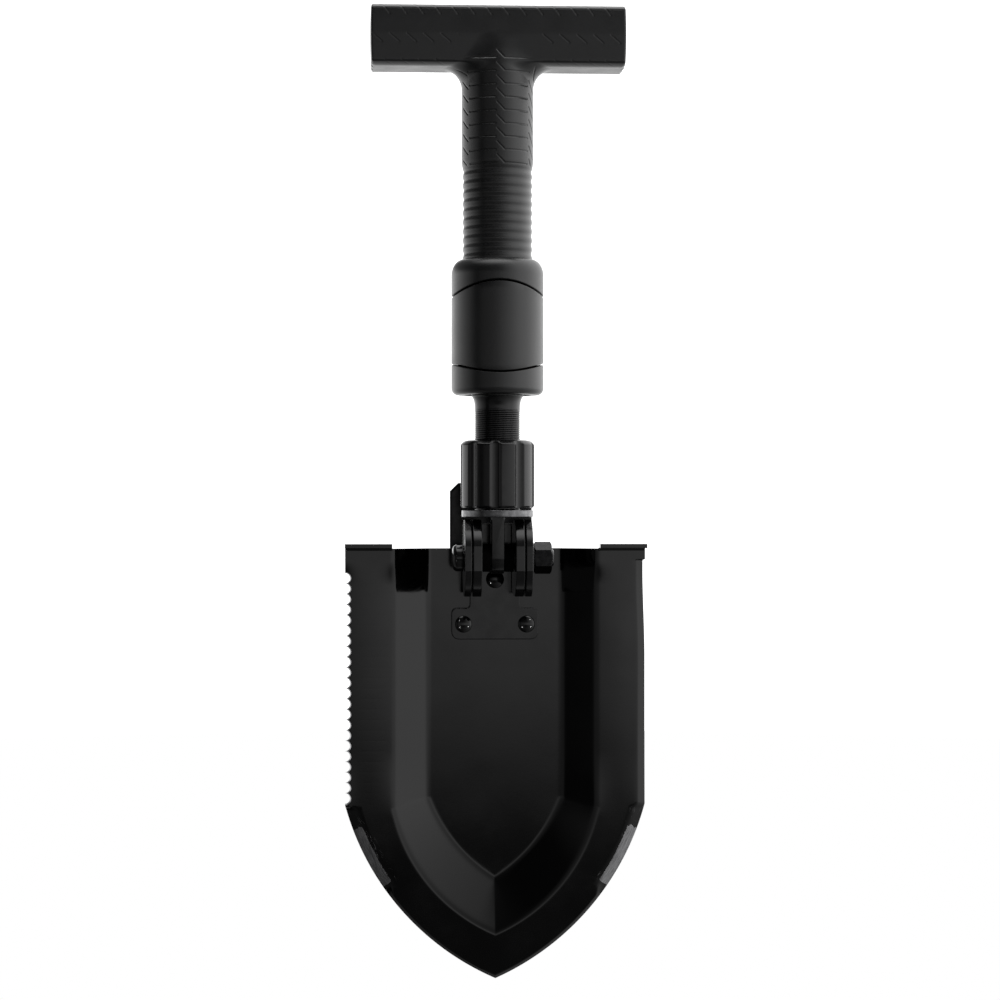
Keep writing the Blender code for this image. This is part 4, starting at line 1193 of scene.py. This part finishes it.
def rough_grip():
    """Bar and stalk joined and remeshed into fine even faces, close to the final surface."""
    d = BAR_DEPTH
    outline = soften([(-d, BAR_BOTTOM), (d, BAR_BOTTOM), (d, BAR_TOP), (-d, BAR_TOP)], [0.9, 0.9, 3, 3])
    bar = prism(outline, "X", -BAR_LENGTH, BAR_LENGTH)
    stalk = [(0, GRIP_END - 1), (COLLAR, GRIP_END - 1), (COLLAR, SHOULDER_BOTTOM)]
    stalk += [(float(grip_radius_at(z)), float(z))
              for z in np.linspace(SHOULDER_BOTTOM + 0.5, SHOULDER_TOP + 1, 12)]
    stalk += [(GRIP_RADIUS, RIB_TOP), (GRIP_RADIUS, BAR_BOTTOM + 5), (0, BAR_BOTTOM + 5)]
    return combine(bar, [turned(stalk, 96)], "UNION", ("REMESH", {"mode": "VOXEL", "voxel_size": VOXEL}),
                   ("SUBSURF", {"subdivision_type": "SIMPLE", "levels": 1}))


def build_t_grip():
    """Bar, grip and shoulder as one moulding, bored for the tube."""
    data = rough_grip()
    count = len(data.vertices)
    points = np.empty(count * 3)
    data.vertices.foreach_get("co", points)
    edges = np.empty(len(data.edges) * 2, dtype=np.int64)
    data.edges.foreach_get("vertices", edges)
    edges = edges.reshape(-1, 2)
    degree = np.bincount(edges.ravel(), minlength=count)[:, None]
    points = project(points.reshape(-1, 3), 5)
    for _ in range(3):
        total = np.zeros_like(points)
        np.add.at(total, edges[:, 0], points[edges[:, 1]])
        np.add.at(total, edges[:, 1], points[edges[:, 0]])
        points = project(0.4 * points + 0.6 * total / degree, 2)
    _, slope = field_gradient(points)
    normal = slope / np.maximum(np.linalg.norm(slope, axis=1, keepdims=True), 1e-6)
    x, _, z = points.T
    on_bar = smoothstep(z, BAR_BOTTOM - 2, BAR_BOTTOM + 0.5)
    beside_grip = smoothstep(np.abs(x), GRIP_RADIUS + 1, GRIP_RADIUS + 4)
    above_crease = smoothstep(z, BAR_CREASE, BAR_CREASE + 3)
    depth = bar_pattern(points, normal) * on_bar * np.maximum(beside_grip, above_crease)
    depth = np.maximum(depth, grip_pattern(points)) + rib_pattern(z)
    data.vertices.foreach_set("co", (points - normal * depth[:, None]).ravel())
    data.update()

    # What is cut away: everything below the upper seam, and the bore up to the plug
    below = GRIP_LOW.z - 20
    reach = COLLAR + 4
    top = span("tube_plug")[1].z + CLEARANCE
    narrow = COLLAR_BORE - BORE_STEP
    cutter = [(0, below), (reach, below), (reach, SEAM_MARK + SEAM_EDGE)]
    cutter += [(COLLAR + 0.02, SEAM_MARK + SEAM_EDGE), (COLLAR - SEAM_EDGE, SEAM_MARK)]
    cutter += [(COLLAR_BORE, SEAM_MARK), (COLLAR_BORE, BAR_BOTTOM), (narrow, BAR_BOTTOM + 1)]
    cutter += [(narrow, top), (0, top)]
    data = combine(data, [to_seam(cutter, top_seam, SEAM_HALF)], "DIFFERENCE")
    make_piece("handle_grip", data, "t_grip", None, GRIP_SHARP)


# Stage, light and camera

CAMERA_DISTANCE = 1.15
CAMERA_AZIMUTH = -3
CAMERA_AIM = Vector((0.0012, 0, 0.027))
CAMERA_LENS = 88.65
SPOT_DISTANCE = 0.9
SPOT_SIZE = 0.025
SPOT_POWER = 0.8
SPOTS = [(-34, 24), (30, 27), (-28, -26), (36, -22)]
FASTENERS = ["rivet_left_head", "rivet_right_head", "rivet_centre_head", "hinge_bolt", "hinge_nut"]


def place_facing(obj, aim, azimuth, elevation, distance):
    """Puts a camera or lamp in a direction, in degrees, from a point, and turns it to the point."""
    a = radians(azimuth)
    e = radians(elevation)
    away = Vector((sin(a) * cos(e), -cos(a) * cos(e), sin(e)))
    obj.location = aim + away * distance
    obj.rotation_mode = "QUATERNION"
    obj.rotation_quaternion = away.to_track_quat("Z", "Y")


def build_camera():
    """Level camera at the picture's angle."""
    data = bpy.data.cameras.new("camera")
    data.lens = CAMERA_LENS
    data.sensor_width = 36
    camera = new_object("camera", data)
    place_facing(camera, HINGE + CAMERA_AIM, CAMERA_AZIMUTH, 0, CAMERA_DISTANCE)
    bpy.context.scene.camera = camera


def build_floor():
    """Seamless white floor under the blade's point, seen only by the camera."""
    data = mesh_from([(x, y, 0) for x, y in arc((0, 0), 1.6, 0, 360, 96)[:-1]], [tuple(range(96))])
    floor = new_object("floor", data)
    floor.location.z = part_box("blade")[0].z - 0.03
    material = bpy.data.materials.new("floor_white")
    material.use_nodes = True
    nodes = Nodes(material.node_tree)
    nodes.tree.nodes.clear()
    glow = nodes.add("ShaderNodeEmission", Strength=1)
    nodes.add("ShaderNodeOutputMaterial", Surface=glow.outputs[0])
    data.materials.append(material)
    floor.visible_glossy = floor.visible_diffuse = floor.visible_shadow = False


def build_spots():
    """Small lamps that put bright points on the fasteners' domes, and on nothing else."""
    fasteners = bpy.data.collections.new("fasteners")
    for name in FASTENERS:
        fasteners.objects.link(bpy.data.objects[name])
    for index, (azimuth, elevation) in enumerate(SPOTS):
        data = bpy.data.lights.new("spot_%d" % index, "AREA")
        data.shape = "DISK"
        data.size = SPOT_SIZE
        data.energy = SPOT_POWER
        lamp = new_object("spot_%d" % index, data)
        place_facing(lamp, HINGE, azimuth, elevation, SPOT_DISTANCE)
        lamp.visible_camera = False
        lamp.light_linking.receiver_collection = fasteners


# Brightness of the surroundings: around the object by azimuth in degrees, 0 in front; in front of
# it by elevation; and everywhere by elevation below the horizon
SURROUNDINGS = [
    (-180, 1.6), (-146, 1.57), (-132, 1.39), (-121, 1.17), (-112, 1), (-103, 0.85), (-95, 0.65),
    (-89, 0.53), (-81, 0.42), (-75, 0.31), (-68, 0.22), (-63, 0.05), (-51, 0.02), (-44, 0.17),
    (-26, 0.25), (-14, 0.36), (-4, 0.52), (0, 0.6), (4, 0.68), (9, 0.8), (28, 0.84), (40, 0.9),
    (52, 1.1), (60, 1.15), (76, 1.2), (90, 1.5), (114, 1.75), (132, 1.65), (154, 1.5), (180, 1.6),
]
FRONT_HEIGHTS = [
    (-50, 0.7), (-26, 0.45), (-17, 0.15), (-8.5, 0.08), (-7.3, 0.19), (-6.5, 0.36), (-5.8, 0.54),
    (-4.3, 0.86), (-2.3, 1.04), (-0.5, 0.92), (3.7, 0.58), (8, 0.3), (11, 0.22), (15, 0.12),
    (26, 0.13), (45, 0.2),
]
BELOW_HEIGHTS = [(-90, 0.22), (-60, 0.22), (-40, 0.3), (-18, 0.6), (-9, 0.9), (0, 1)]
FRONT_SHARPNESS = 6
UPPER_START = 0.13
UPPER_LEFT_LOSS = 0.85
OVERHEAD_START = 0.78
OVERHEAD = 2.2


def build_world():
    """Studio surroundings as a function of direction: white behind and right, dark front left."""
    world = bpy.data.worlds.new("studio")
    bpy.context.scene.world = world
    world.use_nodes = True
    sky = Nodes(world.node_tree)
    sky.tree.nodes.clear()
    maths = sky.maths
    times = sky.times

    def curve(value, stops):
        """Piecewise linear function of a value from 0 to 1."""
        ramp = sky.add("ShaderNodeValToRGB", Fac=value)
        elements = ramp.color_ramp.elements
        elements.remove(elements[-1])
        for index, (position, level) in enumerate(stops):
            element = elements[0] if index == 0 else elements.new(position)
            element.position = position
            element.color = (level, level, level, 1)
        return ramp.outputs["Color"]

    def less(share):
        return maths("SUBTRACT", 1, share)

    x, y, z = sky.parts(sky.add("ShaderNodeTexCoord").outputs["Generated"])
    forward = times(y, -1)
    turn = maths("ADD", maths("DIVIDE", maths("ARCTAN2", x, forward), tau), 0.5)
    around = times(curve(turn, [((a + 180) / 360, level / 2) for a, level in SURROUNDINGS]), 2)
    lifted = maths("ADD", times(z, 0.5), 0.5)
    front, below = [curve(lifted, [(sin(radians(e)) * 0.5 + 0.5, level) for e, level in heights])
                    for heights in (FRONT_HEIGHTS, BELOW_HEIGHTS)]
    level_length = maths("SQRT", maths("ADD", times(x, x), times(y, y)))
    frontness = maths("DIVIDE", forward, maths("MAXIMUM", level_length, 0.001))
    centre = maths("POWER", maths("MAXIMUM", frontness, 0), FRONT_SHARPNESS)
    level = times(times(around, below), less(times(less(front), centre)))
    upper = times(maths("SUBTRACT", z, UPPER_START), 6, True)
    upper_left = times(upper, times(x, -2.5, True))
    level = times(level, less(times(upper_left, UPPER_LEFT_LOSS)))
    above = times(maths("SUBTRACT", z, OVERHEAD_START), 6, True)
    level = maths("ADD", times(level, less(above)), times(above, OVERHEAD))
    is_camera = sky.add("ShaderNodeLightPath").outputs["Is Camera Ray"]
    background = sky.add("ShaderNodeBackground", Color=(1, 1, 1, 1),
                         Strength=maths("MAXIMUM", level, is_camera))
    sky.add("ShaderNodeOutputWorld", Surface=background.outputs[0])


dress_cad_nodes()
build_blade()
build_front_bracket()
build_rear_saddle()
build_rivets()
build_hinge_bolt()
build_threaded_stem()
build_lock_nut()
build_inner_tube()
build_collar()
build_t_grip()
build_floor()
build_spots()
build_world()
build_camera()
bpy.context.scene.view_settings.view_transform = "Standard"
